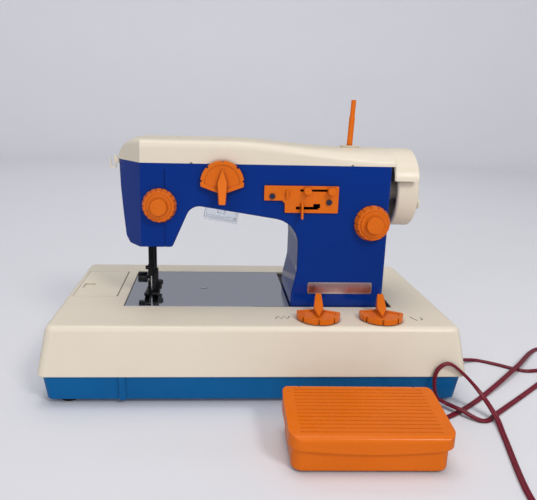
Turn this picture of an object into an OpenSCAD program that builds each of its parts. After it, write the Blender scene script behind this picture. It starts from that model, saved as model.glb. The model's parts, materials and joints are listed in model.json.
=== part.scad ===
// Toy sewing machine with a foot pedal on a lead.
// Millimetres, Z up, X along the base, Y from front to back.
// Sizes are worked out in a machine frame: middle of the base, on the floor.
// in_frame() then shifts everything so that the origin is under the middle of machine and pedal.

/* [Base] */
// Width of the base shell along its bottom rim
base_width = 340; // [336:1:350]
// Depth of the base shell along its bottom rim
base_depth = 200; // [198:1:212]
// Height of the bed, the working surface, above the floor
bed_height = 65; // [64:0.5:70]
// How far each end wall leans in from rim to top
base_lean_x = 7.2; // [5:0.2:8]
// How far the front and back walls lean in from rim to top
base_lean_y = 6.6; // [5:0.2:7]
// Height of the rim where the shell meets the tray
rim_height = 25.5; // [24:0.5:27]
// Height of the rubber feet
foot_height = 4; // [3:0.5:5]
// Thickness of the plastic shells
wall = 2.4; // [2.2:0.1:2.6]

/* [Arm] */
// Depth of the arm, head and column from front to back
arm_depth = 70; // [68:1:74]
// Middle of the arm from front to back
arm_y = -8; // [-10:0.5:-7]
// Height of the seam between arm and top cover, above the bed
seam_rise = 120.5; // [119:0.5:126]
// Height of the head from its underside to that seam
head_height = 69.5; // [68.5:0.5:70]
// Left face of the column
column_left = 37; // [36:0.5:40]
// Right end of the arm and column
column_right = 112.5; // [112:0.5:115]
// Depth of the main shaft below the seam
shaft_drop = 23.5; // [22.5:0.5:24]
// Rise of the top cover at the head
cover_rise_head = 18.8; // [18.5:0.1:20]
// Rise of the top cover at the wheel
cover_rise_wheel = 13; // [12.8:0.1:14]

/* [Controls] */
// Radius of the handwheel
wheel_radius = 30.5; // [29:0.5:31]
// Radius of the thread tension knob on the head
tension_radius = 14.2; // [13:0.2:14.6]
// Radius of the stitch length knob on the column
stitch_radius = 15.2; // [14:0.2:16]
// Radius of the three fan-shaped dials
dial_radius = 17.6; // [16:0.2:18]
// Radius of the spool pin
spool_pin_radius = 2.4; // [2:0.1:2.8]
// Lean of the spool pin from upright, in degrees
spool_pin_lean = 2; // [0:0.5:3]

/* [Pedal] */
// Width of the pedal lid
pedal_width = 109.4; // [106:0.2:114]
// Depth of the pedal lid
pedal_depth = 61.4; // [60:0.2:66]
// Height of the pedal lid at its front edge
pedal_front_height = 28; // [27.5:0.5:30]
// Height of the pedal lid at its back edge
pedal_back_height = 35; // [34:0.5:37]

/* [Hidden] */
$fn = 64;

// Fits: clearance of a shaft in its bearing, of a part that only passes, and a hairline joint
running_gap = 0.08;
free_gap = 0.4;
pass_gap = 0.8;

// Reach of a cutting block that is larger than anything it cuts
beyond = 400;
// How far a cut runs past the faces that it opens
past = 1;

// Heights that follow from the bed
bed_under = bed_height - wall;
frame_thick = 3;
frame_under = bed_under - frame_thick;
lower_drop = 19;
seam_z = bed_height + seam_rise;
head_rise = seam_rise - head_height;
head_z = bed_height + head_rise;
shaft_z = seam_z - shaft_drop;
lower_z = bed_height - lower_drop;

// Arm faces from front to back
arm_front_y = arm_y - arm_depth / 2;
arm_back_y = arm_y + arm_depth / 2;

// Nose of the head: where the flat front ends, where the two bevels would meet, and the rounding
crease_x = -93.4;
nose_apex_x = -116.2;
nose_round = 8;
nose_tip_x = nose_apex_x + 1.6;

// Bed opening in the base shell, and the bed plate in it
bed_left = -109.4;
bed_right = 121;
bed_front = arm_front_y - 1.6;
bed_back = 64.5;
plate_gap = 0.9;
foot_left = column_left - 4.4;

// Needle bar and presser bar in the head
needle_x = -88.8;
needle_y = arm_y - 2;
needle_bar_radius = 2.5;
presser_x = -86.9;
presser_y = arm_y + 5;
presser_bar_radius = 2.4;
needle_travel_down = 6;
needle_travel_up = 12;
presser_lift = 6;
feed_travel = 1.5;

// Face plate seam on the head
groove_x = -73.9;
groove_width = 0.5;
face_top_z = seam_z - 4.5;
tongue_wide = 3;
tongue_thick = 2.8;
tongue_lap = 1.6;

// Handwheel and the hood over it
wheel_left = column_right + 7.2;
wheel_right = wheel_left + 18.2;
cover_right = column_right + 2.3;
hood_right = cover_right + 20.6;
hood_bottom_z = seam_z - 11.5;
hood_wall = 2.2;

// Shaft, pulleys and belts
shaft_radius = 3;
lower_shaft_radius = 2.5;
motor_shaft_radius = 1;
big_pulley_radius = 20;
motor_pulley_radius = 5;
timing_pulley_radius = 10;
belt_thick = 1.2;
belt_gap = 0.3;
motor_belt_x = column_right - 7.5;
timing_belt_x = motor_belt_x - 9.5;
motor_z = bed_height + 35;
motor_radius = 13.8;
motor_left = column_left + 9;
motor_right = motor_left + 38;

// Pedal placed on the floor in front of the machine
pedal_x = 70.7;
pedal_y = -162.1;
pedal_turn = -1.15;
pedal_corner = 9;
pedal_skirt = 1.8;
pedal_half_reach = (pedal_depth / 2 - pedal_corner) * cos(pedal_turn)
    + (pedal_width / 2 - pedal_corner) * sin(abs(pedal_turn)) + pedal_corner;
pedal_tray_width = pedal_width - 2 * pedal_skirt - 1.4;
pedal_tray_depth = pedal_depth - 2 * pedal_skirt - 2.8;
pedal_foot = 1;
pedal_floor = pedal_foot + wall;
pedal_tray_top = 19.5;
hinge_v = pedal_depth / 2 - 8.7;
hinge_z = 24;
hinge_radius = 1.5;

// Shift from the machine frame to the part's frame
frame_y = -(base_depth / 2 + pedal_y - pedal_half_reach) / 2;

// Colours
cream = [0.89, 0.85, 0.75];
blue = [0.02, 0.13, 0.52];
tray_blue = [0.03, 0.2, 0.45];
orange = [0.9, 0.38, 0.03];
black = [0.05, 0.05, 0.05];
steel = [0.62, 0.63, 0.65];
brass = [0.75, 0.6, 0.28];
red = [0.5, 0.04, 0.08];
clear = [0.85, 0.88, 0.92, 0.35];

// Outline helpers
function unit(v) = v / norm(v);
function left_normal(a, b) = let (u = unit(b - a)) [-u[1], u[0]];
function turn_side(a, b, c) = let (u = b - a, v = c - b) u[0] * v[1] - u[1] * v[0];
function before(list, i) = list[(i + len(list) - 1) % len(list)];
function after(list, i) = list[(i + 1) % len(list)];

// Corner b of an anticlockwise outline, moved in by d from both its edges
function inset_corner(a, b, c, d) =
    let (m = left_normal(a, b), n = left_normal(b, c)) b + (m + n) * d / (1 + m * n);

// Rounding radius of a corner after the outline is moved in by d
function inset_radius(a, b, c, r, d) = r == 0 ? 0 : (turn_side(a, b, c) > 0 ? max(r - d, 0) : r + d);

// Arc of radius r that rounds corner b
function corner_arc(a, b, c, r, steps) =
    let (u = unit(a - b), v = unit(c - b), half = acos(u * v) / 2,
        middle = b + unit(u + v) * r / sin(half), start = b + u * r / tan(half) - middle,
        sweep = (180 - 2 * half) * sign(turn_side(a, b, c)))
    [for (i = [0 : steps]) let (t = sweep * i / steps)
        middle + [start[0] * cos(t) - start[1] * sin(t), start[0] * sin(t) + start[1] * cos(t)]];

// Anticlockwise outline of corners [x, y, rounding], moved in by d
function outline(corners, d, steps = 6) =
    let (p = [for (c = corners) [c[0], c[1]]])
    let (q = [for (i = [0 : len(p) - 1]) inset_corner(before(p, i), p[i], after(p, i), d)])
    [for (i = [0 : len(p) - 1])
        let (r = inset_radius(before(p, i), p[i], after(p, i), corners[i][2], d))
        each r == 0 ? [q[i]] : corner_arc(before(q, i), q[i], after(q, i), r, steps)];

// Placing helpers
module in_frame() { translate([0, frame_y, 0]) children(); }
module along_x(from, to) { translate([from, 0, 0]) rotate([90, 0, 90]) linear_extrude(to - from) children(); }
module along_y(from, to) { translate([0, to, 0]) rotate([90, 0, 0]) linear_extrude(to - from) children(); }
module along_z(from, to) { translate([0, 0, from]) linear_extrude(to - from) children(); }
module box(low, high) { translate(low) cube(high - low); }
module rod_x(r, from, to, y, z) { along_x(from, to) translate([y, z]) circle(r); }
module rod_y(r, from, to, x, z) { along_y(from, to) translate([x, z]) circle(r); }
module rod_z(r, from, to, x, y) { along_z(from, to) translate([x, y]) circle(r); }
module rounded_rect(w, d, r) { polygon(outline([[-w / 2, -d / 2, r], [w / 2, -d / 2, r],
    [w / 2, d / 2, r], [-w / 2, d / 2, r]], 0)); }

// Box with leaning walls: width and depth at the low and high end
module leaning_box(low_size, high_size, from, to) {
    intersection() {
        along_y(-low_size[1], low_size[1]) polygon([[-low_size[0] / 2, from], [low_size[0] / 2, from],
            [high_size[0] / 2, to], [-high_size[0] / 2, to]]);
        along_x(-low_size[0], low_size[0]) polygon([[-low_size[1] / 2, from], [low_size[1] / 2, from],
            [high_size[1] / 2, to], [-high_size[1] / 2, to]]);
    }
}

// Swept tubes: rings of points along a path, with a width across and a height up
function ring_along(path, i) = path[min(i + 1, len(path) - 1)] - path[max(i - 1, 0)];
function level_side(path, i) = unit(cross(ring_along(path, i), [0, 0, 1]));
function facing(side, before) = side * before < 0 ? -side : side;
// Level direction across each ring, kept from turning over where the path passes upright
function ring_sides(path) = [for (i = 0, side = level_side(path, 0); i < len(path);
    i = i + 1, side = i < len(path) ? facing(level_side(path, i), side) : side) side];
module swept(path, half_wide, half_high, sides) {
    last = len(path) - 1;
    across = ring_sides(path);
    points = [for (i = [0 : last]) for (k = [0 : sides - 1]) path[i]
        + across[i] * half_wide * cos(360 * k / sides)
        + unit(cross(across[i], ring_along(path, i))) * half_high * sin(360 * k / sides)];
    walls = [for (i = [0 : last - 1]) for (k = [0 : sides - 1])
        let (a = i * sides + k, b = i * sides + (k + 1) % sides) [a, b, b + sides, a + sides]];
    polyhedron(points, concat([[for (k = [sides - 1 : -1 : 0]) k]], walls,
        [[for (k = [0 : sides - 1]) last * sides + k]]), convexity = 8);
}
function helix(radius, from, to, turns, steps) = [for (i = [0 : turns * steps])
    [radius * cos(360 * i / steps), radius * sin(360 * i / steps), from + (to - from) * i / (turns * steps)]];

// Smooth curve through the route's points, two stretches between neighbours
function curve_point(p, i, t) =
    let (a = p[max(i - 1, 0)], b = p[i], c = p[i + 1], d = p[min(i + 2, len(p) - 1)])
    0.5 * (2 * b + (c - a) * t + (2 * a - 5 * b + 4 * c - d) * t * t + (3 * b - a - 3 * c + d) * t * t * t);
function smooth_route(p, cuts) = concat([for (i = [0 : len(p) - 2]) for (k = [0 : cuts - 1])
    curve_point(p, i, k / cuts)], [p[len(p) - 1]]);

// Base

function shell_size(z, d) =
    let (k = (z - rim_height) / (bed_height - rim_height))
    [base_width - 2 * base_lean_x * k - 2 * d, base_depth - 2 * base_lean_y * k - 2 * d];
rim_flange = 7;
dial_y = -73;
left_dial_x = 51.8;
right_dial_x = 103.5;
dial_spindle = 2.5;
lid_left = -base_width / 2 + 12.5;
lid_right = -119;
lid_front = -17.7;
lid_back = 61.7;
lid_hinge_x = lid_right - 1.2;
lid_hinge_z = bed_height - wall / 2;
lid_rest_gap = 0.05;
lid_pin_radius = 0.8;
lid_pin_length = 2;
lid_wide = lid_right - lid_left;
recess_left = lid_left + 0.08 * lid_wide;
recess_size = [0.26 * lid_wide, 14, 1.2];
recess_y = lid_front + 0.395 * (lid_back - lid_front);

module base_shell() {
    color(cream) in_frame() difference() {
        leaning_box(shell_size(rim_height, 0), shell_size(bed_height, 0), rim_height, bed_height);
        leaning_box(shell_size(rim_height + wall, wall), shell_size(bed_under, wall),
            rim_height + wall, bed_under);
        leaning_box(shell_size(rim_height - 1, rim_flange), shell_size(rim_height + wall + 1, rim_flange),
            rim_height - 1, rim_height + wall + 1);
        box([bed_left, bed_front, bed_under - 1], [bed_right, bed_back, bed_height + 1]);
        box([lid_left - free_gap, lid_front - free_gap, bed_under - 1],
            [lid_right + 2 * free_gap, lid_back + free_gap, bed_height + 1]);
        rod_y(lid_pin_radius + running_gap, lid_front - free_gap - lid_pin_length - free_gap,
            lid_back + free_gap + lid_pin_length + free_gap, lid_hinge_x, lid_hinge_z);
        for (x = [left_dial_x, right_dial_x])
            rod_z(dial_spindle + running_gap, bed_under - 1, bed_height + 1, x, dial_y);
    }
}

tray_top = [base_width - 7, base_depth - 6];
tray_bottom = [base_width - 11, base_depth - 14];
tray_lean = (tray_top[0] - tray_bottom[0]) / 2 / (rim_height - foot_height);
tray_floor = foot_height + wall;
cell_radius = 13.1;
cell_length = 50;
contact_thick = 1.2;
contact_wall = 2;
cells_left = -52;
cells_front_y = 33;
cells_back_y = 61;
cells_right = cells_left + 2 * cell_length;
door_size = [2 * cell_length + 1, 62];
door_middle = [cells_left + cell_length, (cells_front_y + cells_back_y) / 2];
tray_boss_x = -104.5;
tray_boss_radius = 3.6;
tray_boss_proud = 2.2;
tray_front_lean = atan((tray_top[1] - tray_bottom[1]) / 2 / (rim_height - foot_height));
gland_y = -20;
gland_z = 14;
gland_radius = 4.5;

module door_outline(d) {
    translate(door_middle) square([door_size[0] - 2 * d, door_size[1] - 2 * d], center = true);
}

module base_tray() {
    color(tray_blue) in_frame() difference() {
        union() {
            difference() {
                leaning_box(tray_bottom, tray_top, foot_height, rim_height);
                leaning_box(tray_bottom - [2 * wall, 2 * wall], tray_top - [2 * wall, 2 * wall],
                    tray_floor, rim_height + 0.01);
            }
            // Clip boss that runs up the front wall and leans with it
            intersection() {
                translate([tray_boss_x, tray_boss_radius - tray_boss_proud - tray_bottom[1] / 2, foot_height])
                    rotate([tray_front_lean, 0, 0]) translate([0, 0, -foot_height])
                        cylinder(r = tray_boss_radius, h = 2 * rim_height);
                box([-beyond, -beyond, foot_height], [beyond, beyond, rim_height]);
            }
            // Walls that hold the battery contacts
            for (x = [cells_left - contact_thick - contact_wall, cells_right + contact_thick])
                box([x, cells_front_y - cell_radius, tray_floor - 0.5],
                    [x + contact_wall, cells_back_y + cell_radius, tray_floor + 24]);
        }
        along_z(foot_height - 1, tray_floor + 0.01) door_outline(0);
        rod_x(gland_radius, base_width / 2 - 20, base_width / 2, gland_y, gland_z);
    }
}

foot_at = [for (x = [-1, 1]) for (y = [-1, 1])
    [x * (tray_bottom[0] / 2 - 16), y * (tray_bottom[1] / 2 - 11)]];
foot_radius = 7;
pedal_foot_at = [for (x = [-1, 1]) for (y = [-1, 1])
    [x * (pedal_width / 2 - 13), y * (pedal_depth / 2 - 12)]];
pedal_foot_radius = 4;

module rubber_feet() {
    color(black) in_frame() {
        for (p = foot_at)
            rod_z(foot_radius, 0, foot_height, p[0], p[1]);
        at_pedal()
            for (p = pedal_foot_at)
                rod_z(pedal_foot_radius, 0, pedal_foot, p[0], p[1]);
    }
}

// Bed frame: ledge under the bed opening, with hangers for the lower shaft and the feed rod
ledge = 4.6;
hanger_at = [-62, 79];
hanger_thick = 6;
feed_rod_radius = 2;
feed_rod_z = bed_height - 13;
feed_ear_front = needle_y - 28;
feed_ear_back = needle_y + 34;
feed_ear_thick = 4;

module bed_frame() {
    color(black) in_frame() difference() {
        union() {
            box([bed_left - ledge, bed_front - ledge, frame_under],
                [bed_right + ledge, bed_back + ledge, bed_under]);
            for (x = hanger_at)
                box([x, arm_y - 7, lower_z - 6], [x + hanger_thick, arm_y + 7, frame_under + 1]);
            for (y = [feed_ear_front, feed_ear_back])
                box([needle_x - 5, y, feed_rod_z - 5], [needle_x + 5, y + feed_ear_thick, frame_under + 1]);
        }
        box([needle_x - 14, needle_y - 22, frame_under - 1], [needle_x + 19, needle_y + 30, bed_under + 1]);
        box([timing_belt_x - 7, arm_y - 16, frame_under - 1], [timing_belt_x + 7, arm_y + 16, bed_under + 1]);
        rod_x(lower_shaft_radius + running_gap, hanger_at[0] - past, hanger_at[1] + hanger_thick + past,
            arm_y, lower_z);
        rod_y(feed_rod_radius + running_gap, feed_ear_front - 1, feed_ear_back + feed_ear_thick + 1,
            needle_x, feed_rod_z);
    }
}

feed_slot = [2.6, 16];
feed_strip = [2, 12];
feed_apart = 5.5;
feed_middle_y = needle_y + 4;
plate_clip_at = [-42, arm_y + 16];
plate_clip_size = [6.5, 2];
needle_hole_radius = 1.8;

module bed_plate() {
    color(steel) in_frame() difference() {
        box([bed_left + plate_gap, bed_front + plate_gap, bed_under],
            [foot_left - plate_gap, bed_back - plate_gap, bed_height]);
        rod_z(needle_hole_radius, bed_under - past, bed_height + past, needle_x, needle_y);
        for (x = [-feed_apart, feed_apart])
            translate([needle_x + x, feed_middle_y, bed_under + wall / 2])
                cube([feed_slot[0], feed_slot[1], wall + 2], center = true);
        translate([plate_clip_at[0], plate_clip_at[1], bed_under + wall / 2])
            cube([plate_clip_size[0], plate_clip_size[1], wall + 2], center = true);
    }
}

module feed_dog() {
    color(steel) in_frame() {
        for (x = [-feed_apart, feed_apart])
            translate([needle_x + x - feed_strip[0] / 2, feed_middle_y - feed_strip[1] / 2, feed_rod_z])
                cube([feed_strip[0], feed_strip[1], bed_height + 0.4 - feed_rod_z]);
        box([needle_x - feed_apart, feed_middle_y - 4, feed_rod_z - 3],
            [needle_x + feed_apart, feed_middle_y + 4, feed_rod_z + 4]);
        rod_y(feed_rod_radius, feed_ear_front - 3, feed_ear_back + feed_ear_thick + 3, needle_x, feed_rod_z);
    }
}

// Accessory bin under a hinged lid, left of the bed
bin_wall = 1.6;
bin_floor = 36;
bin_low = [lid_left + 1, lid_front + 1.2];
bin_high = [lid_right + 1.4, lid_back - 1.2];

module accessory_bin() {
    color(cream) in_frame() difference() {
        union() {
            box([bin_low[0] - bin_wall, bin_low[1] - bin_wall, bin_floor - bin_wall],
                [bin_high[0] + bin_wall, bin_high[1] + bin_wall, bed_under]);
            box([bin_low[0] - 1.8, bin_low[1] - 5, bed_under - bin_wall],
                [bin_high[0] + 3.2, bin_high[1] + 5, bed_under]);
        }
        box([bin_low[0], bin_low[1], bin_floor], [bin_high[0], bin_high[1], bed_under + 1]);
    }
}

module accessory_lid() {
    color(cream) in_frame() {
        difference() {
            union() {
                box([lid_left, lid_front, bed_under + lid_rest_gap], [lid_hinge_x, lid_back, bed_height]);
                // Rounded hinge edge that clears the bin as the lid turns
                rod_y(wall / 2 - lid_rest_gap, lid_front, lid_back, lid_hinge_x, lid_hinge_z);
            }
            // Finger recess
            translate([recess_left, recess_y - recess_size[1] / 2, bed_height - recess_size[2]])
                cube(recess_size + [0, 0, past]);
        }
        rod_y(lid_pin_radius, lid_front - free_gap - lid_pin_length, lid_back + free_gap + lid_pin_length,
            lid_hinge_x, lid_hinge_z);
    }
}

// Arm

// Front outline of arm, head and column in X and Z, running past both open ends
arm_over = 8;
underside_slope = 0.155;
head_step_x = -52.3;
arm_height = 33.9;
function underside_z(x) = seam_z - arm_height - underside_slope * (x - head_step_x);
function nose_z(part) = head_z + head_height * part;
arm_corners = [
    [nose_tip_x, seam_z + arm_over, 0],
    [nose_tip_x, seam_z, 0],
    [nose_tip_x + 1.2, nose_z(0.67), 0],
    [nose_tip_x + 3.6, nose_z(0.335), 0],
    [nose_tip_x + 6, nose_z(0.075), 0],
    [nose_tip_x + 10, head_z, 2.6],
    [head_step_x - 15.6, head_z, 3],
    [head_step_x, underside_z(head_step_x), 11],
    [column_left, underside_z(column_left), 22],
    [column_left, bed_height + 31, 20],
    [foot_left + 0.4, bed_height + 11, 16],
    [foot_left, bed_under - arm_over, 0],
    [column_right, bed_under - arm_over, 0],
    [column_right, seam_z + arm_over, 0]];
arm_plan = [
    [crease_x, arm_front_y, 0],
    [column_right + arm_over, arm_front_y, 0],
    [column_right + arm_over, arm_back_y, 0],
    [crease_x, arm_back_y, 0],
    [nose_apex_x, arm_y, nose_round]];

// Solid arm moved in by d, from the bed to the seam or past both by "over"
module arm_block(d, over) {
    intersection() {
        along_y(arm_front_y - 5, arm_back_y + 5) polygon(outline(arm_corners, d));
        along_z(bed_under - over, seam_z + over) polygon(outline(arm_plan, d));
    }
}

module face_region(gap) { box([-beyond, -beyond, head_z - past], [groove_x - gap, beyond, face_top_z]); }

tension_at = [-78.2, seam_z - 34.4];
tension_spindle = 2;
stitch_at = [98.4, seam_z - 47];
stitch_spindle = 2.5;
dial_at = [-27.3, seam_z - 14.5];
slide_low = [7.2, seam_z - 38.7];
slide_high = [68.6, seam_z - 16.5];
lifter_at = [-80, head_z + 14];
lifter_radius = 2.5;

// Hole through the arm's front wall, at [x, z]
module front_hole(r, at) { rod_y(r, arm_front_y - past, arm_front_y + wall + past, at[0], at[1]); }

// Hollow arm with the holes that its parts pass through
module arm_shell() {
    difference() {
        arm_block(0, 0);
        arm_block(wall, 4);
        rod_x(shaft_radius + pass_gap, column_right - wall - 1, column_right + 1, arm_y, shaft_z);
        front_hole(tension_spindle + running_gap, tension_at);
        front_hole(stitch_spindle + running_gap, stitch_at);
        front_hole(dial_spindle + running_gap, dial_at);
        rod_y(lifter_radius + running_gap, arm_back_y - wall - past, arm_back_y + past,
            lifter_at[0], lifter_at[1]);
        rod_z(needle_bar_radius + pass_gap, head_z - 1, head_z + wall + 1, needle_x, needle_y);
        rod_z(presser_bar_radius + pass_gap, head_z - 1, head_z + wall + 1, presser_x, presser_y);
        // Window behind the slide plate
        box([slide_low[0] + 23, arm_front_y - 1, slide_low[1] + 1.6],
            [slide_high[0] - 2, arm_front_y + wall + 1, slide_high[1] - 1.6]);
        // Screw holes of the slide plate
        for (p = slide_screw_at)
            front_hole(screw_radius, p);
        // Hole for the lamp's cap
        lamp_place() translate([0, 0, -1]) cylinder(r = bulb_base_radius, h = wall + 8);
    }
}

// Arm without its face plate, with a tongue inside that closes the seam between the two
module arm_body() {
    difference() {
        arm_shell();
        face_region(-groove_width / 2);
    }
    intersection() {
        difference() {
            arm_block(wall - tongue_lap, 0);
            arm_block(wall - tongue_lap + tongue_thick, 4);
        }
        box([groove_x - groove_width / 2, -beyond, head_z],
            [groove_x + tongue_wide, beyond, face_top_z + past]);
    }
}

module arm_front() {
    color(blue) in_frame() difference() {
        arm_body();
        box([-beyond, arm_y, 0], [beyond, beyond, beyond]);
    }
}

module arm_rear() {
    color(blue) in_frame() difference() {
        arm_body();
        box([-beyond, -beyond, 0], [beyond, arm_y, beyond]);
    }
}

module face_plate() {
    color(blue) in_frame() intersection() {
        arm_shell();
        face_region(groove_width / 2);
    }
}

// Cream top cover: sections along X that change from boxy at the head to round at the wheel
function ease(t) = let (s = min(max(t, 0), 1)) s * s * (3 - 2 * s);
function cover_half_depth(x) = arm_depth / 2 * min(1, (x - nose_apex_x) / (crease_x - nose_apex_x));
function cover_main_rise(x) = cover_rise_head + (cover_rise_wheel - cover_rise_head) * ease((x + 22) / 95);
function cover_rise(x) = x >= crease_x ? cover_main_rise(x)
    : cover_rise_head * sqrt(1 - pow((crease_x - x) / (crease_x - nose_tip_x) / 1.02, 2));
function cover_power(x) = 8 - 5.8 * ease((x + 30) / 140);
function signed_power(v, e) = sign(v) * pow(abs(v), e);
section_steps = 24;
cover_nose_x = [for (t = [0 : 8]) crease_x - (crease_x - nose_tip_x) * cos(90 * t / 8)];
cover_main_x = [for (t = [1 : 16]) crease_x + (cover_right - crease_x) * t / 16];

// One section moved in by d; an inner one reaches below the seam so that the cover is open underneath
function cover_section(x, shape_x, d) =
    let (half = cover_half_depth(shape_x) - d, rise = cover_rise(shape_x) - d, e = 2 / cover_power(shape_x),
        low = d > 0 ? seam_z - 1 : seam_z)
    concat(d > 0 ? [[x, arm_y - half, low]] : [],
        [for (k = [0 : section_steps]) let (a = 180 * k / section_steps)
            [x, arm_y - half * signed_power(cos(a), e), seam_z + rise * signed_power(sin(a), e)]],
        d > 0 ? [[x, arm_y + half, low]] : []);
module loft(sections) {
    count = len(sections[0]);
    last = len(sections) - 1;
    walls = [for (i = [0 : last - 1]) for (k = [0 : count - 1])
        let (a = i * count + k, b = i * count + (k + 1) % count) [a, b, b + count, a + count]];
    polyhedron([for (s = sections) each s], concat([[for (k = [count - 1 : -1 : 0]) k]], walls,
        [[for (k = [0 : count - 1]) last * count + k]]), convexity = 6);
}

spool_at = [83, arm_y];
spool_boss_radius = 8;
spool_boss_rise = 1.6;
spool_boss_z = seam_z + cover_main_rise(spool_at[0]);
spool_pin_length = 38;
spool_pin_thick_length = 24;
spool_pin_top_radius = spool_pin_radius - 0.35;
spool_root = 6;
spool_root_radius = spool_pin_radius - 0.6;
thread_hole_x = -64;
thread_hole_radius = 2;
snap_notch_x = [-52.4, 79];
snap_notch = 1;

module top_cover() {
    color(cream) in_frame() difference() {
        union() {
            difference() {
                loft([for (x = concat(cover_nose_x, cover_main_x)) cover_section(x, x, 0)]);
                loft([for (t = [3 : 8]) cover_section(cover_nose_x[t], cover_nose_x[t], wall)]);
                loft(concat([cover_section(crease_x - 0.01, crease_x, wall)],
                    [for (t = [0 : 14]) cover_section(cover_main_x[t], cover_main_x[t], wall)],
                    [cover_section(cover_right - wall, cover_right, wall)]));
            }
            rod_z(spool_boss_radius, spool_boss_z - wall - 1, spool_boss_z + spool_boss_rise,
                spool_at[0], spool_at[1]);
        }
        spool_place() translate([0, 0, -spool_root]) cylinder(r = spool_root_radius, h = spool_root + 20);
        // Thread hole over the head
        rod_z(thread_hole_radius, seam_z, seam_z + cover_rise_head + past, thread_hole_x, arm_y);
        // Snap notches on the front edge
        for (x = snap_notch_x)
            box([x - snap_notch, arm_front_y - snap_notch, seam_z - snap_notch],
                [x + snap_notch, arm_front_y + snap_notch, seam_z + snap_notch]);
    }
}

module spool_place() {
    translate([spool_at[0], spool_at[1], spool_boss_z + spool_boss_rise])
        rotate([0, spool_pin_lean, 0]) children();
}

module spool_pin() {
    color(orange) in_frame() spool_place() {
        translate([0, 0, -spool_root]) cylinder(r = spool_root_radius, h = spool_root + 1);
        cylinder(r = spool_pin_radius, h = spool_pin_thick_length);
        cylinder(r = spool_pin_top_radius, h = spool_pin_length);
    }
}

// Hood over the handwheel: a dome from its foot up to the cover's height, moved in by d
hood_power = 1.8;
hood_half_depth = arm_depth / 2 + 1.4;
hood_rise = seam_z + cover_rise_wheel - hood_bottom_z;
function hood_section(d) = [for (k = [0 : section_steps])
    let (a = 180 * k / section_steps, e = 2 / hood_power)
    [arm_y - (hood_half_depth - d) * signed_power(cos(a), e),
        hood_bottom_z + (hood_rise - d) * signed_power(sin(a), e)]];

module hood_ring(d) {
    polygon(concat(hood_section(d), [for (k = [section_steps : -1 : 0]) hood_section(hood_wall)[k]]));
}

// A narrow lip set in beside the cover leaves the seam that is seen between the two
hood_lip = [0.6, 1];

module wheel_hood() {
    color(cream) in_frame() {
        along_x(cover_right, cover_right + hood_lip[0]) hood_ring(hood_lip[1]);
        along_x(cover_right + hood_lip[0], hood_right) hood_ring(0);
    }
}

// Bearings inside the arm

left_bearing_x = -66;
right_bearing_x = 76;
bearing_thick = 4;
bracket_thick = 3;

// Slice of the arm's hollow between two X positions and two heights
module hollow_slice(from, to, low, high) {
    intersection() {
        arm_block(wall, 0);
        box([from, -beyond, low], [to, beyond, high]);
    }
}

module shaft_frame() {
    color(black) in_frame() difference() {
        union() {
            for (x = [left_bearing_x, right_bearing_x])
                hollow_slice(x, x + bearing_thick, shaft_z - 18, seam_z - 1);
            // Motor bracket in the column
            hollow_slice(motor_right, motor_right + bracket_thick, motor_z - 17, motor_z + 17);
        }
        rod_x(shaft_radius + running_gap, left_bearing_x - past, right_bearing_x + bearing_thick + past,
            arm_y, shaft_z);
        rod_x(motor_shaft_radius + 1.5, motor_right - past, motor_right + bracket_thick + past,
            arm_y, motor_z);
    }
}

guide_thick = 6;
upper_guide_z = shaft_z + 16.5;
upper_guide_thick = 4;
seat_z = shaft_z - 14.5;
seat_thick = 2;
collar_z = head_z + 13;
collar_thick = 4;
collar_radius = 4;

module bar_guides() {
    color(black) in_frame() difference() {
        union() {
            hollow_slice(-beyond, groove_x - 2, head_z + wall, head_z + wall + guide_thick);
            hollow_slice(-beyond, needle_x + 5.5, upper_guide_z, upper_guide_z + upper_guide_thick);
            // Upper seat of the presser spring, held on the back wall
            box([presser_x - 1.9, presser_y - 4, seat_z],
                [presser_x + 4, arm_back_y - wall, seat_z + seat_thick]);
        }
        rod_z(needle_bar_radius + running_gap, head_z, seam_z, needle_x, needle_y);
        rod_z(presser_bar_radius + running_gap, head_z, seam_z, presser_x, presser_y);
    }
}

// Drive

module main_shaft() {
    color(steel) in_frame() rod_x(shaft_radius, crank_left + crank_web, wheel_right + 1, arm_y, shaft_z);
}

// Flanged wheel on a shaft along X
module flanged_pulley(r, wide, middle_x, z, bore) {
    difference() {
        union() {
            rod_x(r, middle_x - wide / 2, middle_x + wide / 2, arm_y, z);
            for (x = [middle_x - wide / 2 - flange_thick, middle_x + wide / 2])
                rod_x(r + flange_rise, x, x + flange_thick, arm_y, z);
        }
        rod_x(bore, middle_x - wide, middle_x + wide, arm_y, z);
    }
}
belt_wide = 4;
pulley_wide = belt_wide + 0.8;
flange_thick = 0.8;
flange_rise = 1.6;

module shaft_pulleys() {
    color(cream) in_frame() {
        flanged_pulley(big_pulley_radius, pulley_wide, motor_belt_x, shaft_z, shaft_radius);
        flanged_pulley(timing_pulley_radius, pulley_wide, timing_belt_x, shaft_z, shaft_radius);
    }
}

crank_radius = 11;
crank_throw = (needle_travel_up + needle_travel_down) / 2;
crank_rest_z = (needle_travel_down - needle_travel_up) / 2;
crank_rest_y = sqrt(crank_throw * crank_throw - crank_rest_z * crank_rest_z);
crank_pin_radius = 1.5;
crank_thick = 5;
crank_web = 2;
crank_left = needle_x + 10.3;

module crank_disc() {
    color(steel) in_frame() {
        difference() {
            rod_x(crank_radius, crank_left, crank_left + crank_thick, arm_y, shaft_z);
            rod_x(shaft_radius, crank_left + crank_web, crank_left + crank_thick + past, arm_y, shaft_z);
        }
        rod_x(crank_pin_radius, crank_left - 3, crank_left, arm_y + crank_rest_y, shaft_z + crank_rest_z);
    }
}

wheel_rim = 4;
wheel_web = 3;
wheel_hub = 8;

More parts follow.
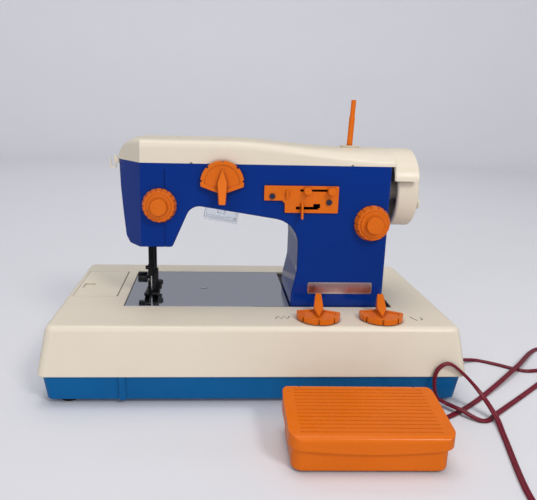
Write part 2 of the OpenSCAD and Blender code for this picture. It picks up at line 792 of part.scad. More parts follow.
module handwheel() {
    color(cream) in_frame() translate([wheel_left, arm_y, shaft_z]) rotate([0, 90, 0]) rotate_extrude() {
        width = wheel_right - wheel_left;
        translate([wheel_radius - wheel_rim, 0]) square([wheel_rim, width]);
        translate([shaft_radius, width - wheel_web - 1])
            square([wheel_radius - wheel_rim - shaft_radius + 1, wheel_web]);
        translate([shaft_radius, 0]) square([wheel_hub - shaft_radius, width]);
    }
}

finger_at = [arm_y - 21, shaft_z - 8];
finger_stem_radius = 2.5;
finger_radius = 5;
finger_stem = 0.6;
finger_length = 2.2;

module finger_knob() {
    color(cream) in_frame() {
        rod_x(finger_stem_radius, wheel_right - 1, wheel_right + finger_stem, finger_at[0], finger_at[1]);
        rod_x(finger_radius, wheel_right + finger_stem, wheel_right + finger_stem + finger_length,
            finger_at[0], finger_at[1]);
    }
}

module motor() {
    color(steel) in_frame() {
        rod_x(motor_radius, motor_left, motor_right, arm_y, motor_z);
        rod_x(4, motor_left - 3, motor_left, arm_y, motor_z);
    }
}

module motor_pulley() {
    color(brass) in_frame() {
        flanged_pulley(motor_pulley_radius, pulley_wide, motor_belt_x, motor_z, motor_shaft_radius);
        rod_x(motor_shaft_radius, motor_right + 0.3, motor_belt_x + 3.5, arm_y, motor_z);
    }
}

// Belt loop round two pulleys, one above the other
module belt_disc(low_z, low_r, high_z, high_r) {
    rise = high_z - low_z;
    tilt = asin((high_r - low_r) / rise);
    translate([arm_y, low_z]) circle(low_r);
    translate([arm_y, high_z]) circle(high_r);
    low_touch = [low_r * cos(tilt), low_z - low_r * sin(tilt)];
    high_touch = [high_r * cos(tilt), high_z - high_r * sin(tilt)];
    polygon([[arm_y - low_touch[0], low_touch[1]], [arm_y + low_touch[0], low_touch[1]],
        [arm_y + high_touch[0], high_touch[1]], [arm_y - high_touch[0], high_touch[1]]]);
}
module belt(middle_x, low_z, low_r, high_z, high_r) {
    along_x(middle_x - belt_wide / 2, middle_x + belt_wide / 2) difference() {
        belt_disc(low_z, low_r + belt_gap + belt_thick, high_z, high_r + belt_gap + belt_thick);
        belt_disc(low_z, low_r + belt_gap, high_z, high_r + belt_gap);
    }
}

module drive_belts() {
    color(black) in_frame() {
        belt(motor_belt_x, motor_z, motor_pulley_radius, shaft_z, big_pulley_radius);
        belt(timing_belt_x, lower_z, timing_pulley_radius, shaft_z, timing_pulley_radius);
    }
}

lower_left_x = needle_x + 10.3;

module lower_shaft() {
    color(steel) in_frame() {
        rod_x(lower_shaft_radius, lower_left_x, timing_belt_x + 5, arm_y, lower_z);
        flanged_pulley(timing_pulley_radius, pulley_wide, timing_belt_x, lower_z, lower_shaft_radius);
    }
}

module looper_hook() {
    color(steel) in_frame() translate([lower_left_x, arm_y, lower_z]) rotate([90, 0, 90]) linear_extrude(4)
        difference() {
            union() {
                circle(8);
                // Hook finger that catches the thread loop
                polygon([[-2, 6], [4, 6], [6, 11], [1, 10.5]]);
            }
            circle(lower_shaft_radius);
        }
}

// Needle and presser bars

yoke_half = 3.2;
yoke_end = 3.5;
yoke_thick = 5;
yoke_slot = crank_pin_radius + 0.2;
yoke_z = shaft_z + crank_rest_z;
needle_bar_low = bed_height + 0.365 * head_rise;
needle_bar_top = shaft_z + 26.5;
needle_tip_z = bed_height + 3;
needle_radius = 0.6;
needle_taper = 4;
clamp_z = needle_bar_low - 1;
clamp_height = 10;
clamp_radius = 3.1;
clamp_screw_radius = 1.8;

module needle_bar() {
    color(black) in_frame() {
        rod_z(needle_bar_radius, needle_bar_low, needle_bar_top, needle_x, needle_y);
        // Yoke plate with the crank pin's slot
        difference() {
            box([needle_x, arm_y - crank_throw - yoke_end, yoke_z - yoke_half],
                [needle_x + yoke_thick, arm_y + crank_throw + yoke_end, yoke_z + yoke_half]);
            box([needle_x + yoke_thick / 2, arm_y - crank_throw - yoke_slot, yoke_z - yoke_slot],
                [needle_x + yoke_thick + past, arm_y + crank_throw + yoke_slot, yoke_z + yoke_slot]);
        }
    }
}

module needle_clamp() {
    color(black) in_frame() {
        difference() {
            rod_z(clamp_radius, clamp_z, clamp_z + clamp_height, needle_x, needle_y);
            rod_z(needle_bar_radius, needle_bar_low, clamp_z + clamp_height + past, needle_x, needle_y);
            rod_z(needle_radius + 0.3, clamp_z - past, needle_bar_low + past, needle_x, needle_y);
        }
        // Clamp screw
        rod_x(clamp_screw_radius, needle_x - clamp_radius - 2, needle_x - needle_bar_radius,
            needle_y, clamp_z + 7);
    }
}

module needle() {
    color(steel) in_frame() translate([needle_x, needle_y, 0]) {
        translate([0, 0, needle_tip_z + needle_taper])
            cylinder(r = needle_radius, h = needle_bar_low - needle_tip_z - needle_taper);
        translate([0, 0, needle_tip_z])
            cylinder(r1 = needle_radius / 4, r2 = needle_radius, h = needle_taper);
    }
}

presser_sole_z = bed_height + 0.8;
presser_shank = [7, 7];
presser_shank_top = bed_height + 0.423 * head_rise;
presser_bar_low = bed_height + 0.23 * head_rise;
presser_bar_top = seat_z - 4.5;
presser_screw_radius = 1.5;
presser_screw_head = 4.8;
presser_screw_z = presser_shank_top - 8;
presser_screw_neck = 6.2;
presser_screw_length = 8.1;
ankle_left = presser_x - 5.6;
ankle_right = presser_x + 6.5;
ankle_low = presser_sole_z + 2.4;
ankle_top = presser_sole_z + 10;
ankle_screw_radius = 2;
ankle_screw_length = 1.2;
sole_left = needle_x - 5.4;
sole_right = presser_x + 4.4;
sole_thick = 1.4;
sole_front = presser_y - 17;
toe_front = presser_y - 20.5;
needle_slot_half = 1.4;

module presser_bar() {
    color(black) in_frame() {
        rod_z(presser_bar_radius, presser_bar_low, presser_bar_top, presser_x, presser_y);
        rod_z(collar_radius, collar_z, collar_z + collar_thick, presser_x, presser_y);
    }
}

module presser_foot() {
    color(black) in_frame() difference() {
        union() {
            // Shank round the bar
            box([presser_x - presser_shank[0] / 2, presser_y - presser_shank[1] / 2, bed_height + 5],
                [presser_x + presser_shank[0] / 2, presser_y + presser_shank[1] / 2, presser_shank_top]);
            // Sole with a sprung toe at the front
            box([sole_left, sole_front, presser_sole_z],
                [sole_right, presser_y + 8, presser_sole_z + sole_thick]);
            along_x(sole_left, sole_right) polygon([[sole_front, presser_sole_z],
                [sole_front, presser_sole_z + sole_thick], [toe_front, presser_sole_z + 3 + sole_thick],
                [toe_front, presser_sole_z + 3]]);
            // Ankle block with its screw, and the leaning cheek that carries the sole
            box([ankle_left, presser_y - 3, ankle_low], [ankle_right, presser_y + 3, ankle_top]);
            rod_x(ankle_screw_radius, ankle_right - past, ankle_right + ankle_screw_length,
                presser_y, ankle_top - ankle_screw_radius);
            along_y(presser_y - 3, presser_y + 3) polygon([[presser_x - 1, presser_sole_z + 1],
                [presser_x + 4, presser_sole_z + 1], [presser_x + 3, presser_bar_low + 2],
                [presser_x - 2, presser_bar_low + 2]]);
        }
        rod_z(presser_bar_radius, presser_bar_low, presser_shank_top + past, presser_x, presser_y);
        // Slot for the needle
        box([needle_x - needle_slot_half, toe_front - past, bed_height],
            [needle_x + needle_slot_half, needle_y + 2.4, presser_sole_z + 7]);
        rod_x(presser_screw_radius, presser_x - 10, presser_x - presser_bar_radius,
            presser_y, presser_screw_z);
    }
}

module presser_screw() {
    color(black) in_frame() {
        head_right = presser_x - presser_screw_neck;
        rod_x(presser_screw_radius, head_right, presser_x - presser_bar_radius, presser_y, presser_screw_z);
        rod_x(presser_screw_head, head_right - presser_screw_length, head_right, presser_y, presser_screw_z);
    }
}

spring_wire = 0.45;
spring_steps = 16;
wire_sides = 6;
spring_turns = 5;
presser_spring_radius = 3.3;

module presser_spring() {
    color(steel) in_frame() translate([presser_x, presser_y, 0])
        swept(helix(presser_spring_radius, collar_z + collar_thick + spring_wire, seat_z - spring_wire,
            spring_turns, spring_steps), spring_wire, spring_wire, wire_sides);
}

lifter_lever = [6, 4, 26];
cam_front = presser_y + collar_radius + 1.5;

module lifter_place() { translate([lifter_at[0], 0, lifter_at[1]]) children(); }

module presser_lifter() {
    color(black) in_frame() lifter_place() {
        rod_y(lifter_radius, cam_front, arm_back_y + free_gap + lifter_lever[1], 0, 0);
        // Cam beside the presser bar's collar
        along_y(cam_front, cam_front + 4) translate([-1.5, 0]) circle(4);
        along_y(arm_back_y + free_gap, arm_back_y + free_gap + lifter_lever[1])
            translate([0, -lifter_lever[2] / 2 + lifter_lever[0] / 2])
                rounded_rect(lifter_lever[0], lifter_lever[2], 2.8);
    }
}

// Knobs and dials

knob_gap = 0.4;
knob_notch = [1, 0.9];
knob_keeper = [1.2, 1.6];

// Knob on the front face, at [x, z]: a tapered body notched along its side, then a ring and a cap
module front_knob(at, r, front_r, spindle, body, ring_r, ring, cap_r, cap, notches) {
    keeper_y = arm_front_y + wall + knob_gap;
    translate([at[0], arm_front_y - knob_gap, at[1]]) rotate([90, 0, 0]) {
        difference() {
            cylinder(r1 = r, r2 = front_r, h = body);
            for (i = [0 : notches - 1])
                rotate(360 * i / notches) translate([r, 0, 0]) rotate([0, -atan((r - front_r) / body), 0])
                    cube([knob_notch[0], knob_notch[1], 4 * body], center = true);
        }
        translate([0, 0, body]) cylinder(r = ring_r, h = ring);
        translate([0, 0, body + ring]) cylinder(r = cap_r, h = cap);
    }
    rod_y(spindle, arm_front_y - knob_gap, arm_front_y + 12, at[0], at[1]);
    rod_y(spindle + knob_keeper[0], keeper_y, keeper_y + knob_keeper[1], at[0], at[1]);
}

module tension_knob() {
    color(orange) in_frame()
        front_knob(tension_at, tension_radius, tension_radius - 1.8, tension_spindle, body = 6,
            ring_r = 9.9, ring = 1.2, cap_r = 6.6, cap = 4.4, notches = 18);
}

module stitch_knob() {
    color(orange) in_frame()
        front_knob(stitch_at, stitch_radius, stitch_radius - 2, stitch_spindle, body = 6.4,
            ring_r = 10.9, ring = 1.3, cap_r = 6.9, cap = 4.2, notches = 14);
}

dial_thick = 4.6;
dial_stand = 0.6;
dial_rim = 3.2;
dial_recess = 0.8;
dial_notches = [4, 45, 90, 135, 176];
blade_apex = 11.4;
blade_end = -16.2;
blade_half = 4.1;
blade_tail = 3.1;
blade_crest_half = 2.3;
blade_height = 11;

// Outline of a fan-shaped dial, moved in by d
module fan_outline(d) {
    reach = dial_radius + 1;
    intersection() {
        circle(dial_radius - d);
        polygon([[-reach, d - 2.8], [0, d - 9.6], [reach, d - 2.8], [reach, reach], [-reach, reach]]);
    }
}

// Fan-shaped dial in its own plane: round side towards +Y, blade along Y, facing +Z
module fan_dial(spindle_length) {
    foot = dial_stand + 0.4;
    face = dial_stand + dial_thick;
    crest = face + blade_height;
    difference() {
        along_z(dial_stand, face) difference() {
            fan_outline(0);
            for (a = dial_notches)
                rotate(a) translate([dial_radius, 0]) square([2.4, 1.6], center = true);
        }
        along_z(face - dial_recess, face + past) fan_outline(dial_rim);
    }
    // Finger blade: arrow-shaped from above, rising towards its blunt end, narrower along its crest
    side = blade_half + 0.5;
    intersection() {
        along_z(foot, crest) polygon([[0, blade_apex], [-blade_half, -1], [-blade_tail, blade_end],
            [blade_tail, blade_end], [blade_half, -1]]);
        along_x(-blade_half, blade_half) polygon([[blade_apex, foot], [blade_apex, face + 0.6],
            [blade_end, crest], [blade_end, foot]]);
        along_y(blade_end, blade_apex) polygon([[-side, dial_stand], [side, dial_stand], [side, face],
            [blade_crest_half, crest], [-blade_crest_half, crest], [-side, face]]);
    }
    along_z(-spindle_length, dial_stand + 0.5) circle(dial_spindle);
}

module stitch_dial() {
    color(orange) in_frame() translate([dial_at[0], arm_front_y, dial_at[1]]) rotate([90, 0, 0]) fan_dial(12);
}

module flat_dial(x, turn) { translate([x, dial_y, bed_height]) rotate(180 + turn) fan_dial(14); }
left_dial_turn = -8;
right_dial_turn = -10;

module left_dial() { color(orange) in_frame() flat_dial(left_dial_x, left_dial_turn); }
module right_dial() { color(orange) in_frame() flat_dial(right_dial_x, right_dial_turn); }

// Slide plate on the arm: an L-shaped plate with two slots

slide_thick = 2;
slide_step = [24.4, slide_low[1] + 10];
slide_screw_at = [[13.8, slide_low[1] + 13.6], [60.8, slide_low[1] + 9.1]];
screw_radius = 1.4;
screw_head = 2.3;
peg_slot_z = slide_low[1] + 18.6;
peg_slot_half = 0.9;
peg_slot_left = 36.6;
peg_slot_right = 64;
lever_slot_z = slide_low[1] + 4;
lever_slot_half = 1.2;
lever_slot_left = 33.6;
lever_slot_right = 52;
left_peg_x = 42.3;
right_peg_x = 62;
lever_x = 38.4;
stem_half = 0.6;
peg_radius = 3.1;
fin_x = 26;
fin_thick = 1.6;
slide_round = 0.8;
slide_corners = [
    [slide_low[0], slide_step[1], slide_round],
    [slide_step[0] - 2.4, slide_step[1], 0],
    [slide_step[0], slide_step[1] - 2.4, 0],
    [slide_step[0], slide_low[1], slide_round],
    [slide_high[0], slide_low[1], slide_round],
    [slide_high[0], slide_high[1], slide_round],
    [slide_low[0], slide_high[1], slide_round]];

// Opening through the plate between two corners [x, z]
module slide_slot(low, high) {
    box([low[0], arm_front_y - slide_thick - past, low[1]], [high[0], arm_front_y + past, high[1]]);
}

module slide_plate() {
    color(orange) in_frame() {
        difference() {
            along_y(arm_front_y - slide_thick, arm_front_y) polygon(outline(slide_corners, 0, 3));
            slide_slot([peg_slot_left, peg_slot_z - peg_slot_half],
                [peg_slot_right, peg_slot_z + peg_slot_half]);
            slide_slot([lever_slot_left, lever_slot_z - lever_slot_half],
                [lever_slot_right, lever_slot_z + lever_slot_half]);
            // Step at the right end of the lever's slot
            slide_slot([lever_slot_right - 4, lever_slot_z], [lever_slot_right + 1.6, lever_slot_z + 3.6]);
            for (p = slide_screw_at)
                rod_y(screw_radius, arm_front_y - slide_thick - past, arm_front_y + past, p[0], p[1]);
        }
        // Finger fin
        box([fin_x - fin_thick / 2, arm_front_y - slide_thick - 3, peg_slot_z - 6],
            [fin_x + fin_thick / 2, arm_front_y - slide_thick, peg_slot_z]);
    }
}

tray_screw_at = [100, 70];
tray_screw_radius = 3;
tray_screw_rise = 1.6;

module screws() {
    color(steel) in_frame() {
        for (p = slide_screw_at) {
            rod_y(screw_radius, arm_front_y - slide_thick, arm_front_y + 5, p[0], p[1]);
            difference() {
                rod_y(screw_head, arm_front_y - slide_thick - 1.4, arm_front_y - slide_thick, p[0], p[1]);
                translate([p[0], arm_front_y - slide_thick - 1.2, p[1]]) rotate([0, 35, 0])
                    cube([6, 1.2, 0.8], center = true);
            }
        }
        // Screws under the tray, with their heads against its floor
        for (x = [-1, 1]) for (y = [-1, 1])
            translate([x * tray_screw_at[0], y * tray_screw_at[1], foot_height - tray_screw_rise])
                difference() {
                    cylinder(r = tray_screw_radius, h = tray_screw_rise);
                    translate([0, 0, 0.2]) cube([8, 0.9, 1.2], center = true);
                }
    }
}

// Slider in a slot: stem through the plate, keeper behind it; a peg has a round head in front
slider_front = arm_front_y - slide_thick - 0.3;
module slider(x, z) {
    translate([x, 0, z]) {
        along_y(slider_front - 0.5, arm_front_y + 0.35) square([2 * stem_half, 2 * stem_half], center = true);
        along_y(arm_front_y + 0.3, arm_front_y + 1.5) square([3, 3], center = true);
    }
}
module peg(x) {
    slider(x, peg_slot_z);
    rod_y(peg_radius, slider_front - 5.2, slider_front, x, peg_slot_z);
}

module left_peg() { color(orange) in_frame() peg(left_peg_x); }
module right_peg() { color(orange) in_frame() peg(right_peg_x); }

module slide_lever() {
    color(orange) in_frame() {
        slider(lever_x, lever_slot_z);
        along_x(lever_x - 0.7, lever_x + 0.7) polygon([[slider_front, lever_slot_z + 6],
            [slider_front - 4.7, lever_slot_z + 3], [slider_front - 6.7, lever_slot_z - 8],
            [slider_front, lever_slot_z - 8]]);
    }
}

// Trim on the arm

module thread_guide() {
    color(cream) in_frame() along_y(arm_y - 1.2, arm_y + 1.2) {
        translate([nose_tip_x, seam_z]) polygon([[0.01, -4], [0.01, -1], [-3, 3], [-4.2, 3], [-4.2, -6.6],
            [-6.4, -6.6], [-6.8, -0.6], [-8, -0.6], [-7.6, -8], [-3, -8], [-3, -4]]);
    }
}

lamp_x = -26;
lamp_y = arm_y - 2;
lens_size = [29, 22, 13.5];
lens_wall = 1.4;
bulb_base_radius = 4.5;
bulb_radius = 3.6;
bulb_length = 8;

// Lamp frame: on the underside of the arm, leaning with it, Z into the arm
module lamp_place() {
    translate([lamp_x, lamp_y, underside_z(lamp_x)]) rotate([0, atan(underside_slope), 0]) children();
}

module lamp_lens() {
    color(clear) in_frame() lamp_place() difference() {
        translate([-lens_size[0] / 2, -lens_size[1] / 2, -lens_size[2]]) cube(lens_size);
        translate([-lens_size[0] / 2 + lens_wall, -lens_size[1] / 2 + lens_wall, -lens_size[2] + lens_wall])
            cube([lens_size[0] - 2 * lens_wall, lens_size[1] - 2 * lens_wall, lens_size[2]]);
    }
}

module lamp_bulb() {
    color(clear) in_frame() lamp_place() {
        cylinder(r = bulb_base_radius, h = wall + 6);
        translate([0, 0, -bulb_length]) cylinder(r = bulb_radius, h = bulb_length);
    }
}

label_low = [46.8, bed_height + 11.6];
label_high = [102.4, bed_height + 21.8];

module label_plate() {
    color(steel) in_frame() along_y(arm_front_y - 0.5, arm_front_y)
        translate((label_low + label_high) / 2)
            rounded_rect(label_high[0] - label_low[0], label_high[1] - label_low[1], 1.6);
}

// Batteries in the base

cell_z = tray_floor + cell_radius;

module battery_cells() {
    color(steel) in_frame() for (y = [cells_front_y, cells_back_y]) for (i = [0, 1]) {
        left = cells_left + i * cell_length;
        rod_x(cell_radius, left, left + cell_length - 1.2, y, cell_z);
        rod_x(3.2, left + cell_length - 1.2, left + cell_length, y, cell_z);
    }
}

module battery_contacts() {
    color(brass) in_frame() for (y = [cells_front_y, cells_back_y]) {
        box([cells_left - contact_thick, y - 8, cell_z - 8], [cells_left, y + 8, cell_z + 8]);
        box([cells_right, y - 8, cell_z - 8], [cells_right + contact_thick, y + 8, cell_z + 8]);
    }
}

module battery_door() {
    color(tray_blue) in_frame() along_z(foot_height, tray_floor) door_outline(0.01);
}

// Opening that the flat lead passes through
module lead_hole() { square([lead_wide + 0.2, lead_high + 0.2], center = true); }

module machine_gland() {
    color(black) in_frame() difference() {
        union() {
            rod_x(gland_radius, base_width / 2 - 10, base_width / 2 - 0.2, gland_y, gland_z);
            rod_x(gland_radius + 1.5, base_width / 2 - 10, base_width / 2 - 7.8, gland_y, gland_z);
        }
        along_x(base_width / 2 - 20, base_width / 2 + 5) translate([gland_y, gland_z]) lead_hole();
    }
}

// Pedal, in a frame at the middle of its lid: u along its width, v from front to back

module at_pedal() { translate([pedal_x, pedal_y, 0]) rotate(pedal_turn) children(); }
lid_low_end = 19.8;
lid_low_middle = 16.2;
bow_steps = 6;
bow_half = pedal_width / 2 + past;
lid_side = [[-pedal_depth / 2, 5, 0], [pedal_depth / 2, 5, 0], [pedal_depth / 2, pedal_back_height, 3],
    [-pedal_depth / 2, pedal_front_height, 4.4]];
ear_u = pedal_width / 2 - 9.7;
ear_thick = 4;
ear_half = 4;
lug_u = ear_u - ear_thick - 0.5;
pedal_spring_v = -6;
pedal_seat_z = pedal_front_height - 3;
pedal_gland_u = pedal_width / 2 - 17.2;
pedal_gland_z = 9;
pedal_gland_radius = 3.8;
pedal_gland_flange = 2.2;
lid_rise = pedal_back_height - pedal_front_height;
function lid_top_z(v) = pedal_front_height + lid_rise * (v / pedal_depth + 0.5);
lid_slope = atan(lid_rise / pedal_depth);
rib_count = 13;
rib_size = [pedal_width - 16, 1, 0.8];
slit_size = [0.8, 7, 8];

module lid_plan(d) { rounded_rect(pedal_width - 2 * d, pedal_depth - 2 * d, pedal_corner - d); }

module pedal_tray() {
    color(orange) in_frame() at_pedal() difference() {
        union() {
            difference() {
                along_z(pedal_foot, pedal_tray_top)
                    rounded_rect(pedal_tray_width, pedal_tray_depth, pedal_corner - 1);
                along_z(pedal_floor, pedal_tray_top + past)
                    rounded_rect(pedal_tray_width - 2 * wall, pedal_tray_depth - 2 * wall,
                        pedal_corner - 1 - wall);
            }
            for (side = [-1, 1])
                translate([side * ear_u - ear_thick / 2, hinge_v - ear_half, pedal_foot])
                    cube([ear_thick, 2 * ear_half, hinge_z + ear_half - pedal_foot]);
        }
        rod_x(hinge_radius, -pedal_width / 2, pedal_width / 2, hinge_v, hinge_z);
        rod_y(pedal_gland_radius, pedal_tray_depth / 2 - wall - past, pedal_tray_depth / 2 + past,
            pedal_gland_u, pedal_gland_z);
    }
}

module pedal_lid() {
    color(orange) in_frame() at_pedal() difference() {
        union() {
            difference() {
                intersection() {
                    along_z(0, pedal_back_height + 5) lid_plan(0);
                    along_x(-pedal_width, pedal_width) polygon(outline(lid_side, 0));
                    // Skirt's lower edge bows down in the middle
                    along_y(-pedal_depth, pedal_depth) polygon(concat(
                        [[bow_half, 2 * pedal_back_height], [-bow_half, 2 * pedal_back_height]],
                        [for (i = [-bow_steps : bow_steps]) let (t = i / bow_steps)
                            [bow_half * t, lid_low_middle + (lid_low_end - lid_low_middle) * t * t]]));
                }
                intersection() {
                    along_z(0, pedal_back_height + 5) lid_plan(pedal_skirt);
                    along_x(-pedal_width, pedal_width) polygon([[-pedal_depth, -past], [pedal_depth, -past],
                        [pedal_depth, lid_top_z(pedal_depth) - pedal_skirt],
                        [-pedal_depth, lid_top_z(-pedal_depth) - pedal_skirt]]);
                }
                // Hinge slits in the back edge
                for (side = [-1, 1])
                    translate([side * (ear_u - 3), pedal_depth / 2, pedal_back_height])
                        cube(slit_size, center = true);
            }
            for (side = [-1, 1])
                translate([side * lug_u - ear_thick / 2, hinge_v - ear_half, hinge_z - 3.5])
                    cube([ear_thick, 2 * ear_half, lid_top_z(hinge_v - ear_half) - 1 - hinge_z + 3.5]);
            // Spring seat
            rod_z(2.5, pedal_seat_z, lid_top_z(pedal_spring_v) - 1, 0, pedal_spring_v);
            rod_z(6.4, pedal_seat_z, pedal_seat_z + 1.2, 0, pedal_spring_v);
            // Ribs across the tread
            for (i = [0 : rib_count - 1]) {
                v = -pedal_depth / 2 + 7 + (pedal_depth - 13) * i / (rib_count - 1);
                translate([0, v, lid_top_z(v)]) rotate([lid_slope, 0, 0]) cube(rib_size, center = true);
            }
        }
        rod_x(hinge_radius + running_gap, -lug_u - ear_thick, lug_u + ear_thick, hinge_v, hinge_z);
    }
}

module pedal_pin() {
    color(steel) in_frame() at_pedal()
        rod_x(hinge_radius, -ear_u - ear_thick / 2, ear_u + ear_thick / 2, hinge_v, hinge_z);
}

pedal_wire = 0.55;
pedal_spring_radius = 5;
pedal_spring_turns = 6;

module pedal_spring() {
    color(steel) in_frame() at_pedal() translate([0, pedal_spring_v, 0])
        swept(helix(pedal_spring_radius, pedal_floor + pedal_wire, pedal_seat_z - pedal_wire,
            pedal_spring_turns, spring_steps), pedal_wire, pedal_wire, wire_sides);
}

leaf_left = 20;
leaf_wide = 8;
leaf_thick = 0.6;

module pedal_contacts() {
    color(brass) in_frame() at_pedal() {
        box([leaf_left, -16, pedal_floor], [leaf_left + leaf_wide, 10, pedal_floor + leaf_thick]);
        box([leaf_left, 10, pedal_floor], [leaf_left + leaf_wide, 14, pedal_floor + 6]);
        box([leaf_left, -14, pedal_floor + 4], [leaf_left + leaf_wide, 10, pedal_floor + 4 + leaf_thick]);
    }
}

module pedal_gland() {
    inner_face = pedal_tray_depth / 2 - wall;
    flange_face = inner_face - pedal_gland_flange;
    color(black) in_frame() at_pedal() difference() {
        union() {
            rod_y(pedal_gland_radius, flange_face, pedal_depth / 2 + 5, pedal_gland_u, pedal_gland_z);
            rod_y(pedal_gland_radius + 1, flange_face, inner_face, pedal_gland_u, pedal_gland_z);
        }
        along_y(0, pedal_depth) translate([pedal_gland_u, pedal_gland_z]) lead_hole();
    }
}

// Twin lead from the machine to the pedal, lying on the floor

lead_wide = 4.4;
lead_high = 2.2;
lead_low = 1.2;
lead_over = 4.4;
gland_end = [base_width / 2 - 5, gland_y, gland_z];
pedal_end_v = pedal_depth / 2 + 1;
pedal_out = [-sin(pedal_turn), cos(pedal_turn), 0];
pedal_end = [pedal_x, pedal_y, pedal_gland_z] + pedal_gland_u * [cos(pedal_turn), sin(pedal_turn), 0]
    + pedal_end_v * pedal_out;
// Plane of the arch that leans on the base's front rim
arch_y = -base_depth / 2 - lead_wide / 2 - 0.2;
// Points along the lead: round to the front, up in an arch on the rim, out to the right, back to the pedal
lead_route = [gland_end, gland_end + [7, 0, 0], gland_end + [14, 0, 0], [196, -18, 5], [217, -12.5, lead_low],
    [233, -22, lead_low], [252, -36, lead_low], [273, -36, lead_low], [292, -54, lead_low],
    [284, -100, lead_low], [216, -222, lead_low], [192, -246, lead_low], [166, -246, lead_low],
    [163, -216, lead_low], [180, -147, lead_low], [184, -125, lead_over], [178, -109, 15.5],
    [165, arch_y, 29.5], [152, arch_y, 38.5], [143.5, arch_y, 33], [142, arch_y, 21.5], [145.5, arch_y, 9.5],
    [153, -103.5, 4.8], [161, -114, lead_over], [175, -125, lead_low], [195, -110, lead_low],
    [249, -65, lead_low], [283, -38, lead_over], [308, -16, lead_low], [312, 14, lead_low],
    [288, 12, lead_low], [243.5, -37, lead_over], [188, -88.5, lead_low], [152, -117, lead_low],
    [137, -121, lead_low], [125, -111, 1.8], [116, -102.5, 4.5], [108.5, -108, 7.6],
    pedal_end + 12 * pedal_out, pedal_end];
lead_path = smooth_route(lead_route, 2);

module lead() { color(red) in_frame() swept(lead_path, lead_wide / 2, lead_high / 2, 8); }

base_shell();
base_tray();
rubber_feet();
bed_frame();
bed_plate();
accessory_bin();
accessory_lid();
arm_front();
arm_rear();
face_plate();
top_cover();
wheel_hood();
shaft_frame();
bar_guides();
main_shaft();
shaft_pulleys();
crank_disc();
handwheel();
finger_knob();
motor();
motor_pulley();
drive_belts();
lower_shaft();
looper_hook();
feed_dog();
needle_bar();
needle_clamp();
needle();
presser_bar();
presser_foot();
presser_screw();
presser_spring();
presser_lifter();
tension_knob();
stitch_knob();
stitch_dial();
left_dial();
right_dial();
slide_plate();
slide_lever();
left_peg();
right_peg();
screws();
spool_pin();
thread_guide();
lamp_lens();
lamp_bulb();
label_plate();
battery_cells();
battery_contacts();
battery_door();
machine_gland();
pedal_tray();
pedal_lid();
pedal_pin();
pedal_spring();
pedal_contacts();
pedal_gland();
lead();
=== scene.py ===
import json
import math

import bmesh
import bpy
from mathutils import Matrix, Vector


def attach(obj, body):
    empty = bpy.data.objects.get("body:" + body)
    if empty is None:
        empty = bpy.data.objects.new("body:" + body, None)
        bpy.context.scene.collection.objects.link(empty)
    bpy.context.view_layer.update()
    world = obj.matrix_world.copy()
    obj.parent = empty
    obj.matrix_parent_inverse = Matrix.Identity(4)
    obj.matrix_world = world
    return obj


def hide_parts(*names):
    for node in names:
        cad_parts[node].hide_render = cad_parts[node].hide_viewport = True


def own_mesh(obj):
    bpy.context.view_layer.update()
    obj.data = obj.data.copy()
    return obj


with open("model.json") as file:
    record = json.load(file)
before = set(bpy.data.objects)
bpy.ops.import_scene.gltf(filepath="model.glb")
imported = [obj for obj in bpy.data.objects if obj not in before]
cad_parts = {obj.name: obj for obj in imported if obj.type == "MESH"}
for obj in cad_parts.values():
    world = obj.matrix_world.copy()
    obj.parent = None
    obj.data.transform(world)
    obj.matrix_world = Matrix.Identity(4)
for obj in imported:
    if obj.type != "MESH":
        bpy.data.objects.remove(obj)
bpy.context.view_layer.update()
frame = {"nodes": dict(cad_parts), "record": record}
nodes = frame["nodes"]
record = frame["record"]
node_slot = {s["node"]: s["material_slot"] for s in record["subparts"]}
node_body = {n: b for b, names in record["behaviour"]["bodies"].items() for n in names}

# Shift from the machine frame, whose origin is under the middle of the base, to the part's frame, in mm
FRAME_Y = 46.856


def place(x, y, z):
    """Point of the machine frame in mm as a point of the part's frame in metres."""
    return Vector((x / 1000, (y + FRAME_Y) / 1000, z / 1000))


def machine(v):
    """Point of the part's frame in metres as machine frame mm."""
    return Vector((v.x * 1000, v.y * 1000 - FRAME_Y, v.z * 1000))


# Camera at the photograph's place
IMAGE_WIDTH = 537
FOCAL_PX = 595.48
CENTRE_PX = (242.99, 259.60)
CAMERA_AT = (-35.2, -526.7, 231.9)
PITCH = 0.2540
YAW = 0.0544
ROLL = 0.0228

forward = Vector((math.sin(YAW) * math.cos(PITCH), math.cos(YAW) * math.cos(PITCH), -math.sin(PITCH)))
level = Vector((math.cos(YAW), -math.sin(YAW), 0))
upward = level.cross(forward)
right = level * math.cos(ROLL) + upward * math.sin(ROLL)
up = upward * math.cos(ROLL) - level * math.sin(ROLL)
camera_data = bpy.data.cameras.new("camera")
camera_data.sensor_fit = "HORIZONTAL"
camera_data.sensor_width = 36
camera_data.lens = 36 * FOCAL_PX / IMAGE_WIDTH
camera_data.shift_x = 0.5 - CENTRE_PX[0] / IMAGE_WIDTH
camera_data.shift_y = (CENTRE_PX[1] - 250) / IMAGE_WIDTH
camera_data.clip_start = 0.01
camera = bpy.data.objects.new("camera", camera_data)
turn = Matrix((right, up, -forward)).transposed()
camera.matrix_world = Matrix.Translation(place(*CAMERA_AT)) @ turn.to_4x4()
bpy.context.collection.objects.link(camera)
bpy.context.scene.camera = camera
bpy.context.scene.view_settings.view_transform = "Standard"


# Materials

def new_material(name):
    mat = bpy.data.materials.new(name)
    mat.use_nodes = True
    tree = mat.node_tree
    return mat, tree, tree.nodes["Principled BSDF"]


def add(tree, kind, **values):
    """Node of that kind, with its inputs or settings filled in."""
    n = tree.nodes.new(kind)
    for key, value in values.items():
        if key in n.inputs:
            n.inputs[key].default_value = value
        else:
            setattr(n, key, value)
    return n


